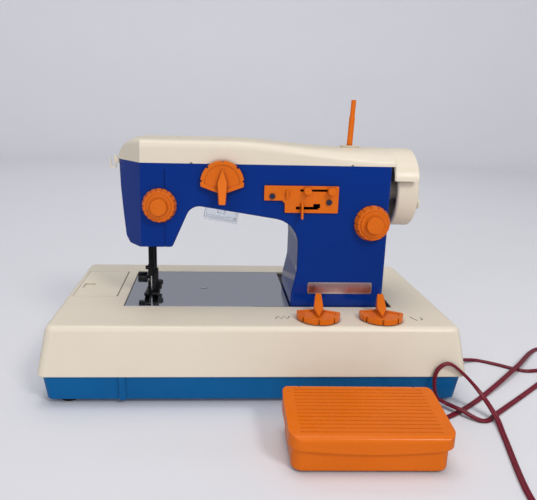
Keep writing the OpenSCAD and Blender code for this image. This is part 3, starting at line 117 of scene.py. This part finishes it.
def noise(tree, coords, scale, detail=4.0, rough=0.55, distort=0.0):
    n = add(tree, "ShaderNodeTexNoise", Scale=scale, Detail=detail, Roughness=rough, Distortion=distort)
    tree.links.new(coords, n.inputs["Vector"])
    return n.outputs["Fac"]


def ramp(tree, value, stops):
    r = add(tree, "ShaderNodeValToRGB")
    r.color_ramp.elements[0].position, r.color_ramp.elements[0].color = stops[0]
    r.color_ramp.elements[1].position, r.color_ramp.elements[1].color = stops[-1]
    for at, colour in stops[1:-1]:
        r.color_ramp.elements.new(at).color = colour
    tree.links.new(value, r.inputs["Fac"])
    return r.outputs["Color"]


def spread(tree, value, low, high):
    m = add(tree, "ShaderNodeMapRange")
    m.inputs["From Min"].default_value = 0.3
    m.inputs["From Max"].default_value = 0.7
    m.inputs["To Min"].default_value = low
    m.inputs["To Max"].default_value = high
    tree.links.new(value, m.inputs["Value"])
    return m.outputs["Result"]


def mixed(tree, factor, a, b, kind="MIX"):
    m = add(tree, "ShaderNodeMix", data_type="RGBA", blend_type=kind)
    for socket, value in ((m.inputs["Factor"], factor), (m.inputs["A"], a), (m.inputs["B"], b)):
        if hasattr(value, "is_linked") or hasattr(value, "links"):
            tree.links.new(value, socket)
        else:
            socket.default_value = value
    return m.outputs["Result"]


def shade(colour, k):
    return (colour[0] * k, colour[1] * k, colour[2] * k, 1)


def bumped(tree, shader, height, strength, distance):
    b = add(tree, "ShaderNodeBump", Strength=strength, Distance=distance)
    tree.links.new(height, b.inputs["Height"])
    tree.links.new(b.outputs["Normal"], shader.inputs["Normal"])


def plastic(name, colour, gloss=(0.16, 0.3), cloud=0.06, scuffs=0.0, shine=0.45, grain=0.02, dirt=None):
    """Moulded plastic: soft clouding, patchy gloss, moulding ripple, hair scuffs, painted shade in creases.
    """
    mat, tree, shader = new_material(name)
    coords = add(tree, "ShaderNodeTexCoord").outputs["Object"]
    patches = noise(tree, coords, 14, 3)
    fine = noise(tree, coords, 420, 6)
    tone = mixed(tree, spread(tree, patches, 0, 1), shade(colour, 1 - cloud), shade(colour, 1 + cloud))
    if scuffs:
        streak = add(tree, "ShaderNodeMapping")
        streak.inputs["Scale"].default_value = (40, 260, 900)
        streak.inputs["Rotation"].default_value = (0.3, 0.5, 0.2)
        tree.links.new(coords, streak.inputs["Vector"])
        hair = noise(tree, streak.outputs["Vector"], 1.0, 2)
        line = ramp(tree, hair, [(0.68, (0, 0, 0, 1)), (0.74, (scuffs, scuffs, scuffs, 1))])
        tone = mixed(tree, line, tone, shade([min(1, c * 1.6 + 0.06) for c in colour], 1))
    if dirt:
        grime = noise(tree, coords, 30, 8, 0.7)
        spots = ramp(tree, grime, [(0.66, (0, 0, 0, 1)), (0.86, (0.14, 0.14, 0.14, 1))])
        tone = mixed(tree, spots, tone, (*dirt, 1))
    # Painted shade: ambient occlusion darkens the colour down to half in creases, seams and recesses
    occlusion_shade = add(tree, "ShaderNodeAmbientOcclusion", Distance=0.004, samples=6)
    unshaded_share = ramp(tree, occlusion_shade.outputs["AO"], [(0.35, (0, 0, 0, 1)), (0.85, (1, 1, 1, 1))])
    tone = mixed(tree, unshaded_share, shade(colour, 0.5), tone)
    tree.links.new(tone, shader.inputs["Base Color"])
    tree.links.new(spread(tree, noise(tree, coords, 55, 5), gloss[0], gloss[1]), shader.inputs["Roughness"])
    shader.inputs["Specular IOR Level"].default_value = shine
    bumped(tree, shader, fine, grain, 0.0002)
    return mat


def metal(name, colour, gloss=(0.12, 0.3), brush=(1, 1, 1), streaks=0.12, bump=0.02):
    """Bare metal: brushed or polished along one direction."""
    mat, tree, shader = new_material(name)
    coords = add(tree, "ShaderNodeTexCoord").outputs["Object"]
    stretch = add(tree, "ShaderNodeMapping")
    stretch.inputs["Scale"].default_value = brush
    tree.links.new(coords, stretch.inputs["Vector"])
    lines = noise(tree, stretch.outputs["Vector"], 90, 5)
    dark = shade(colour, 1 - streaks)
    light = shade(colour, 1 + streaks * 0.5)
    tone = mixed(tree, spread(tree, lines, 0, 1), dark, light)
    tree.links.new(tone, shader.inputs["Base Color"])
    tree.links.new(spread(tree, noise(tree, coords, 40, 4), gloss[0], gloss[1]), shader.inputs["Roughness"])
    shader.inputs["Metallic"].default_value = 1.0
    bumped(tree, shader, lines, bump, 0.0001)
    return mat


def clear_plastic(name):
    mat, tree, shader = new_material(name)
    coords = add(tree, "ShaderNodeTexCoord").outputs["Object"]
    haze = noise(tree, coords, 80, 4)
    tree.links.new(spread(tree, haze, 0.04, 0.16), shader.inputs["Roughness"])
    tree.links.new(mixed(tree, haze, (0.90, 0.93, 0.97, 1), (0.97, 0.98, 1, 1)), shader.inputs["Base Color"])
    shader.inputs["Transmission Weight"].default_value = 1.0
    shader.inputs["IOR"].default_value = 1.45
    bumped(tree, shader, noise(tree, coords, 300, 3), 0.03, 0.0002)
    return mat


def rubber(name, colour):
    return plastic(name, colour, gloss=(0.65, 0.85), cloud=0.2, shine=0.3, grain=0.25)


CREAM = (0.83, 0.74, 0.59)
BLUE = (0.0006, 0.030, 0.240)
TRAY_BLUE = (0.0006, 0.120, 0.340)
ORANGE = (0.78, 0.160, 0.003)
CREAM_DIRT = (0.55, 0.47, 0.35)
ORANGE_DIRT = (0.5, 0.08, 0.005)
materials = {
    "cream_plastic": plastic("cream_plastic", CREAM, (0.28, 0.42), 0.015, 0.0, 0.4, 0.01, CREAM_DIRT),
    "blue_plastic": plastic("blue_plastic", BLUE, (0.07, 0.13), 0.05, 0.1, 0.22, 0.008),
    "tray_plastic": plastic("tray_plastic", TRAY_BLUE, (0.16, 0.26), 0.06, 0.1, 0.25),
    "orange_plastic": plastic("orange_plastic", ORANGE, (0.22, 0.34), 0.05, 0.0, 0.25, 0.02, ORANGE_DIRT),
    "black_plastic": plastic("black_plastic", (0.004, 0.004, 0.005), (0.2, 0.36), 0.3, 0.08, 0.25),
    "polished_plate": metal("polished_plate", (0.80, 0.82, 0.90), (0.04, 0.09), (1, 14, 1), 0.03, 0.003),
    "steel": metal("steel", (0.62, 0.63, 0.65), (0.18, 0.36), (1, 1, 8), 0.1),
    "brass": metal("brass", (0.76, 0.56, 0.22), (0.2, 0.4), (4, 1, 1), 0.12),
    "rubber": rubber("rubber", (0.012, 0.012, 0.013)),
    "clear_plastic": clear_plastic("clear_plastic"),
    "cell_jacket": metal("cell_jacket", (0.30, 0.31, 0.33), (0.3, 0.5), (1, 6, 6), 0.1),
    "lead_cover": plastic("lead_cover", (0.17, 0.004, 0.018), (0.25, 0.4), 0.12, 0.0, 0.4, 0.05),
    "label_foil": metal("label_foil", (0.74, 0.66, 0.66), (0.2, 0.38), (3, 1, 1), 0.06),
}
dark_steel = metal("dark_steel", (0.10, 0.11, 0.20), (0.2, 0.4), (1, 1, 4), 0.2)
label_tint = metal("label_tint", (0.66, 0.42, 0.43), (0.22, 0.4), (6, 1, 1), 0.12)
seam_shade = plastic("seam_shade", (0.0003, 0.003, 0.02), (0.5, 0.7), 0.2, 0.0, 0.1, 0.05)
symbol_ink = plastic("symbol_ink", (0.10, 0.085, 0.07), (0.4, 0.6), 0.15, 0.0, 0.3, 0.05)


# Pieces made from the CAD nodes, with rounded edges

SHARP = math.radians(28)


def sharp_edges(bm):
    return [e for e in bm.edges if len(e.link_faces) == 2 and e.calc_face_angle(0) > SHARP]


def settle(bm):
    """Normals, smooth faces and sharp edges after the shape is done."""
    bmesh.ops.recalc_face_normals(bm, faces=bm.faces)
    for f in bm.faces:
        f.smooth = True
    for e in bm.edges:
        e.smooth = not (len(e.link_faces) == 2 and e.calc_face_angle(0) > math.radians(38))


def finish_piece(obj, body, material):
    obj.data.materials.clear()
    obj.data.materials.append(material)
    bpy.context.collection.objects.link(obj)
    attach(obj, body)
    return obj


def dress(node, rules=(), fine=0.3, fine_segments=2, keep=None, material=None, clamp=True, prepare=None):
    """Copy of a CAD node with its edges rounded: rules are (radius mm, segments, test of an edge).

    The rest of its sharp edges get a fine rounding, but for those that the test "keep" names."""
    bm = bmesh.new()
    bm.from_mesh(nodes[node].data)
    bmesh.ops.remove_doubles(bm, verts=bm.verts, dist=1e-6)
    bmesh.ops.dissolve_limit(bm, angle_limit=math.radians(0.5), verts=bm.verts, edges=bm.edges)
    if prepare:
        prepare(bm)
    for radius, segments, test in rules:
        chosen = [e for e in sharp_edges(bm) if test(machine(e.verts[0].co), machine(e.verts[1].co))]
        if chosen:
            bmesh.ops.bevel(bm, geom=chosen, offset=radius / 1000, offset_type="OFFSET", segments=segments,
                            profile=0.5, affect="EDGES", clamp_overlap=clamp)
    if fine:
        rest = [e for e in sharp_edges(bm)
                if keep is None or not keep(machine(e.verts[0].co), machine(e.verts[1].co))]
        bmesh.ops.bevel(bm, geom=rest, offset=fine / 1000, offset_type="OFFSET",
                        segments=fine_segments, profile=0.5, affect="EDGES", clamp_overlap=True)
    settle(bm)
    mesh = bpy.data.meshes.new(node + "_dressed")
    bm.to_mesh(mesh)
    bm.free()
    obj = bpy.data.objects.new(node + "_dressed", mesh)
    even = obj.modifiers.new("even", "WEIGHTED_NORMAL")
    even.keep_sharp = True
    finish_piece(obj, node_body[node], material or materials[node_slot[node]])
    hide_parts(node)
    return obj


def both(a, b, test):
    return test(a) and test(b)


# Sizes of the machine, in mm, as in the part's source
BED = 65.0
RIM = 25.5
SEAM = BED + 120.5
FRONT = -43.0
BACK = 27.0
CREASE = -93.4
COLUMN_RIGHT = 112.5
COVER_RIGHT = COLUMN_RIGHT + 2.3
HOOD_LIP = 0.6
HOOD_MOUTH = 135
WHEEL_AT = (-8, 162)
WHEEL_RIM = 30
TRAY_SIDE = 163
TRAY_BASE = 4
PEDAL_FLOOR = 1.2
LID_CUTS = (-22, 22, 66)
LID_SIDE = -114.5
KNOB_HOLES = [(-78.2, SEAM - 34.4, 4), (98.4, SEAM - 47, 4), (-27.3, SEAM - 14.5, 4), (13.8, SEAM - 25.1, 3),
              (60.8, SEAM - 29.6, 3)]
WINDOW = ((28, 146), (68, 170))


def off_holes(p):
    """True where a point of the arm's front isn't on the edge of a hole."""
    if WINDOW[0][0] < p.x < WINDOW[1][0] and WINDOW[0][1] < p.z < WINDOW[1][1]:
        return False
    return all((p.x - x) ** 2 + (p.z - z) ** 2 > r * r for x, z, r in KNOB_HOLES)


def near(a, b, tol=0.05):
    return abs(a - b) < tol


def front_outline(a, b):
    on_front = both(a, b, lambda p: near(p.y, FRONT) and off_holes(p))
    return on_front and not both(a, b, lambda p: near(p.z, SEAM))


def back_outline(a, b):
    return both(a, b, lambda p: near(p.y, BACK)) and not both(a, b, lambda p: near(p.z, SEAM))


def column_corner(a, b):
    return both(a, b, lambda p: near(p.x, COLUMN_RIGHT)) and (front_outline(a, b) or back_outline(a, b))


def groove_side(a, b):
    return both(a, b, lambda p: -75 < p.x < -73)


def face_seam(a, b):
    """True on the face plate's top edge and its groove, which close up to a hairline."""
    return both(a, b, lambda p: near(p.z, SEAM - 4.5)) or groove_side(a, b)


def head_front(a, b):
    return front_outline(a, b) and not face_seam(a, b) and not both(a, b, lambda p: near(p.x, CREASE, 1))


def head_back(a, b):
    return back_outline(a, b) and not face_seam(a, b) and not both(a, b, lambda p: near(p.x, CREASE, 1))


def crease_edge(a, b):
    return both(a, b, lambda p: near(p.x, CREASE, 1)) and (both(a, b, lambda p: near(p.y, FRONT))
                                                            or both(a, b, lambda p: near(p.y, BACK)))


def shell_outside(p):
    """True on the base shell's leaning outside."""
    lean = (p.z - RIM) / (BED - RIM)
    return abs(abs(p.x) - (170 - 7.2 * lean)) < 0.2 and abs(abs(p.y) - (100 - 6.6 * lean)) < 0.2


def shell_corner(a, b):
    return both(a, b, shell_outside) and abs(a.z - b.z) > 5


def shell_top(a, b):
    return both(a, b, lambda p: near(p.z, BED) and (abs(p.x) > 161 or abs(p.y) > 85))


def shell_rim(a, b):
    return both(a, b, lambda p: near(p.z, RIM) and (abs(p.x) > 164 or abs(p.y) > 94))


def cover_end(a, b):
    return both(a, b, lambda p: near(p.x, COVER_RIGHT))


def hood_end(a, b):
    return both(a, b, lambda p: near(p.x, COVER_RIGHT + HOOD_LIP))


def hood_mouth(a, b):
    return both(a, b, lambda p: p.x > HOOD_MOUTH)


def wheel_rim(a, b):
    return both(a, b, lambda p: math.hypot(p.y - WHEEL_AT[0], p.z - WHEEL_AT[1]) > WHEEL_RIM)


def pedal_bottom(a, b):
    return both(a, b, lambda p: p.z < PEDAL_FLOOR)


def tray_corner(a, b):
    return both(a, b, lambda p: abs(p.x) > TRAY_SIDE and abs(p.y) > 90) and abs(a.z - b.z) > 5


def tray_bottom(a, b):
    return both(a, b, lambda p: near(p.z, TRAY_BASE) and (abs(p.x) > TRAY_SIDE or abs(p.y) > 92))


def cut(bm, at, normal):
    everything = bm.verts[:] + bm.edges[:] + bm.faces[:]
    bmesh.ops.bisect_plane(bm, geom=everything, plane_co=at, plane_no=normal)


def square_up(bm):
    """Cuts the base's top round the lid's opening into plain fields, so that its rounded edge runs even."""
    for y in LID_CUTS:
        cut(bm, place(0, y, 0), (0, 1, 0))
    cut(bm, place(LID_SIDE, 0, 0), (1, 0, 0))
    stray = []
    for e in bm.edges:
        a, b = (machine(v.co) for v in e.verts)
        inside = both(a, b, lambda p: near(p.z, BED) and p.x < LID_SIDE + 0.05)
        level = len(e.link_faces) == 2 and e.calc_face_angle(0) < 0.01
        on_cross_cut = any(near(a.y, y) and near(b.y, y) for y in LID_CUTS)
        on_side_cut = near(a.x, LID_SIDE) and near(b.x, LID_SIDE)
        if inside and level and not on_cross_cut and not on_side_cut:
            stray.append(e)
    bmesh.ops.dissolve_edges(bm, edges=stray, use_verts=False)


dress("base_shell", [(7.0, 6, shell_corner), (4.2, 5, shell_top), (1.4, 3, shell_rim)], clamp=False,
      prepare=square_up)
dress("base_tray", [(6.0, 5, tray_corner), (1.6, 3, tray_bottom)])
dress("arm_front", [(3.2, 5, column_corner), (2.2, 5, head_front)], 0.35, keep=face_seam, clamp=False)
dress("arm_rear", [(3.2, 5, column_corner), (2.2, 5, head_back)], 0.35, keep=face_seam, clamp=False)
dress("face_plate", [(2.0, 4, head_front), (2.0, 4, head_back), (2.2, 4, crease_edge)], 0.35, keep=face_seam)
dress("top_cover", [(0.8, 3, cover_end)], 0.4)
dress("wheel_hood", [(2.4, 5, hood_mouth), (0.6, 3, hood_end)], 0.2)
dress("handwheel", [(2.2, 5, wheel_rim)], 0.5)
dress("finger_knob", (), 0.6, 3)
for knob in ("tension_knob", "stitch_knob"):
    dress(knob, (), 0.3, 3)
for dial in ("stitch_dial", "left_dial", "right_dial"):
    dress(dial, (), 0.5, 3)
dress("slide_plate", (), 0.35)
for small in ("left_peg", "right_peg", "slide_lever", "spool_pin", "thread_guide", "presser_foot",
              "presser_screw", "needle_clamp", "presser_lifter", "accessory_lid", "accessory_bin",
              "battery_door", "rubber_feet", "machine_gland", "pedal_gland", "lamp_lens", "bed_frame",
              "label_plate"):
    dress(small, (), 0.25)
dress("bed_plate", (), 0.15)
dress("screws", (), 0.25, material=dark_steel)
dress("pedal_tray", [(2.5, 4, pedal_bottom)], 0.5)
dress("pedal_lid", (), 0.6, 3)


def squeezed(node):
    """Spring dressed without fine rounding, with a mesh of its own."""
    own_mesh(dress(node, fine=0))


squeezed("presser_spring")
squeezed("pedal_spring")

# The CAD nodes that stay as they are
for name, obj in nodes.items():
    if not obj.hide_render:
        obj.data.materials.clear()
        obj.data.materials.append(materials[node_slot[name]])


# Twin lead from the machine's gland to the pedal's gland

LEAD_WIDE = 4.4
LOW = 1.2
OVER = 4.4
GLAND_END = Vector((165, -20, 14))
PEDAL_TURN = math.radians(-1.15)
PEDAL_MIDDLE = Vector((70.7, -162.1, 9))
PEDAL_ALONG = Vector((math.cos(PEDAL_TURN), math.sin(PEDAL_TURN), 0))
PEDAL_OUT = Vector((-math.sin(PEDAL_TURN), math.cos(PEDAL_TURN), 0))
PEDAL_END = PEDAL_MIDDLE + 37.5 * PEDAL_ALONG + 31.7 * PEDAL_OUT
ARCH_Y = -102.4
lead_start = [GLAND_END, GLAND_END + Vector((7, 0, 0)), GLAND_END + Vector((14, 0, 0))]
lead_end = [PEDAL_END + 12 * PEDAL_OUT, PEDAL_END]
lead_route = lead_start + [Vector(p) for p in (
    (196, -18, 5), (217, -12.5, LOW), (233, -22, LOW), (252, -36, LOW), (273, -36, LOW), (292, -54, LOW),
    (284, -100, LOW), (216, -222, LOW), (192, -246, LOW), (166, -246, LOW), (163, -216, LOW),
    (180, -147, LOW), (184, -125, OVER), (178, -109, 15.5),
    (165, ARCH_Y, 29.5), (152, ARCH_Y, 38.5), (143.5, ARCH_Y, 33),
    (142, ARCH_Y, 21.5), (145.5, ARCH_Y, 9.5), (153, -103.5, 4.8), (161, -114, OVER), (175, -125, LOW),
    (195, -110, LOW), (249, -65, LOW), (283, -38, OVER), (308, -16, LOW), (312, 14, LOW), (288, 12, LOW),
    (243.5, -37, OVER), (188, -88.5, LOW), (152, -117, LOW), (137, -121, LOW), (125, -111, 1.8),
    (116, -102.5, 4.5), (108.5, -108, 7.6))] + lead_end


def curve_point(points, i, t):
    """Point on a smooth curve through the points, at share t of the stretch after point i."""
    a = points[max(i - 1, 0)]
    b = points[i]
    c = points[i + 1]
    d = points[min(i + 2, len(points) - 1)]
    square = 2 * a - 5 * b + 4 * c - d
    cube = 3 * b - a - 3 * c + d
    return 0.5 * (2 * b + (c - a) * t + square * t * t + cube * t ** 3)


def smooth_route(points, cuts):
    inner = [curve_point(points, i, k / cuts) for i in range(len(points) - 1) for k in range(cuts)]
    return inner + [points[-1]]


def figure_eight(steps=10):
    """Outline of two wires side by side, in mm, across and up."""
    core = LEAD_WIDE / 4
    waist = math.radians(35)
    half = [(core + core * math.cos(a), core * math.sin(a)) for a in
            [-(math.pi - waist) + 2 * (math.pi - waist) * k / steps for k in range(steps + 1)]]
    return half + [(-x, -y) for x, y in half]


def swept(name, path, outline):
    """Closed tube of that outline along a path in mm."""
    bm = bmesh.new()
    rings = []
    before = None
    for i, p in enumerate(path):
        along = (path[min(i + 1, len(path) - 1)] - path[max(i - 1, 0)]).normalized()
        across = along.cross(Vector((0, 0, 1))).normalized()
        if before and before.dot(across) < 0:
            across.negate()
        before = across
        above = across.cross(along).normalized()
        rings.append([bm.verts.new(place(*(p + across * x + above * y))) for x, y in outline])
    count = len(outline)
    for a, b in zip(rings, rings[1:]):
        for k in range(count):
            bm.faces.new((a[k], a[(k + 1) % count], b[(k + 1) % count], b[k]))
    bm.faces.new(rings[0])
    bm.faces.new(list(reversed(rings[-1])))
    settle(bm)
    mesh = bpy.data.meshes.new(name)
    bm.to_mesh(mesh)
    bm.free()
    return bpy.data.objects.new(name, mesh)


lead_path = smooth_route(lead_route, 8)
lead = swept("lead_flex", lead_path, figure_eight())
finish_piece(lead, "machine", materials["lead_cover"])
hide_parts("lead")


# Small trim that the solids leave out, and a painted shade strip

def strip(name, points, half_wide, thick, normal, body, material):
    """Flat raised line through points in mm on a face with that normal."""
    bm = bmesh.new()
    rows = []
    face = Vector(normal)
    for i, p in enumerate(points):
        along = (points[min(i + 1, len(points) - 1)] - points[max(i - 1, 0)]).normalized()
        side = face.cross(along).normalized() * half_wide
        lift = face * thick
        section = (p - side, p + side, p + side * 0.6 + lift, p - side * 0.6 + lift)
        rows.append([bm.verts.new(place(*q)) for q in section])
    for a, b in zip(rows, rows[1:]):
        for k in range(4):
            bm.faces.new((a[k], a[(k + 1) % 4], b[(k + 1) % 4], b[k]))
    bm.faces.new(rows[0])
    bm.faces.new(list(reversed(rows[-1])))
    settle(bm)
    mesh = bpy.data.meshes.new(name)
    bm.to_mesh(mesh)
    bm.free()
    obj = bpy.data.objects.new(name, mesh)
    return finish_piece(obj, body, material)


# Shade at the bottom of the groove between the face plate and the arm
GROOVE = -73.9
groove_line = [Vector((GROOVE, FRONT + 0.2, z)) for z in (BED + 72, BED + 90, SEAM - 5)]
strip("groove_shade", groove_line, 0.3, 0.05, (0, -1, 0), "machine", seam_shade)

# Bare tinted field inside the label's bright border
label_low = Vector((48.2, FRONT - 0.5, BED + 13))
label_high = Vector((101, FRONT - 0.5, BED + 20.4))
label_mid = (label_low.z + label_high.z) / 2
strip("label_field", [Vector((x, FRONT - 0.5, label_mid)) for x in (label_low.x, 60, 75, 90, label_high.x)],
      (label_high.z - label_low.z) / 2, 0.12, (0, -1, 0), "machine", label_tint)


# Stitch symbols pressed into the base beside the dials: a zigzag and a straight stitch
def symbol(name, points):
    strip(name, [Vector((x, y, BED)) for x, y in points], 0.5, 0.08, (0, 0, 1), "machine",
          symbol_ink)


symbol("zigzag_mark", [(17 + 2.4 * i, -74 + 6 * (i % 2)) for i in range(6)])
symbol("slant_mark", [(129.4, -68), (130.6, -73), (132.8, -77)])
symbol("hook_mark", [(137, -70), (138.4, -73), (136.2, -76)])


# Stage: pale floor that curves up into a round wall, soft light
STAGE_TINT = (0.80, 0.80, 0.83)
FLOOR_RADIUS = 2.2
CURVE_RADIUS = 0.8
WALL_TOP = 2.2
ROUND_STEPS = 96
CURVE_STEPS = 16


def stage_material():
    mat, tree, shader = new_material("stage")
    coords = add(tree, "ShaderNodeTexCoord").outputs["Object"]
    tone = mixed(tree, noise(tree, coords, 6, 3), shade(STAGE_TINT, 0.985), shade(STAGE_TINT, 1.015))
    tree.links.new(tone, shader.inputs["Base Color"])
    shader.inputs["Roughness"].default_value = 0.6
    return mat


def stage_piece(name, profile, filled=False):
    """Round piece of the stage: a profile of radius and height turned about the middle."""
    bm = bmesh.new()
    turns = [2 * math.pi * k / ROUND_STEPS for k in range(ROUND_STEPS)]
    rings = [[bm.verts.new((r * math.cos(t), r * math.sin(t), z)) for t in turns] for r, z in profile]
    if filled:
        bm.faces.new(rings[0])
    for a, b in zip(rings, rings[1:]):
        for k in range(ROUND_STEPS):
            after = (k + 1) % ROUND_STEPS
            bm.faces.new((a[k], b[k], b[after], a[after]))
    for f in bm.faces:
        f.smooth = True
    mesh = bpy.data.meshes.new(name)
    bm.to_mesh(mesh)
    bm.free()
    mesh.materials.append(stage_material())
    obj = bpy.data.objects.new(name, mesh)
    bpy.context.collection.objects.link(obj)
    return obj


def curve_up(k):
    a = math.pi / 2 * k / CURVE_STEPS
    return FLOOR_RADIUS + CURVE_RADIUS * math.sin(a), CURVE_RADIUS * (1 - math.cos(a))


floor = stage_piece("floor", [(FLOOR_RADIUS * k / 4, 0) for k in range(1, 5)], filled=True)
wall_profile = [curve_up(k) for k in range(CURVE_STEPS + 1)] + [(FLOOR_RADIUS + CURVE_RADIUS, WALL_TOP)]
wall = stage_piece("wall", wall_profile)
# The stage lights the object but isn't mirrored in its gloss
for piece in (floor, wall):
    piece.visible_glossy = False

world = bpy.data.worlds.new("world")
world.use_nodes = True
bpy.context.scene.world = world
background = world.node_tree.nodes["Background"]
background.inputs["Color"].default_value = (0.9, 0.92, 1.0, 1)
background.inputs["Strength"].default_value = 0.3


def lamp(name, at, aim, size, power, colour):
    data = bpy.data.lights.new(name, "AREA")
    data.shape = "RECTANGLE"
    data.size = size[0]
    data.size_y = size[1]
    data.energy = power
    data.color = colour
    obj = bpy.data.objects.new(name, data)
    obj.location = at
    obj.rotation_euler = (Vector(aim) - Vector(at)).to_track_quat("-Z", "Y").to_euler()
    bpy.context.collection.objects.link(obj)
    return obj


lamp("key", (0.75, -1.3, 1.35), (0, 0, 0.1), (0.4, 0.4), 11.5, (1.0, 0.98, 0.95))
lamp("front_fill", (-0.6, -1.9, 0.8), (0, 0, 0.08), (1.6, 1.0), 8.5, (0.97, 0.98, 1.0))
lamp("top", (-0.1, -0.1, 2.1), (0, 0, 0.1), (1.2, 1.2), 14, (1, 1, 1))
lamp("wall_wash", (0, 1.2, 2.0), (0, 2.6, 0.6), (2.0, 0.8), 14, (1, 1, 1))
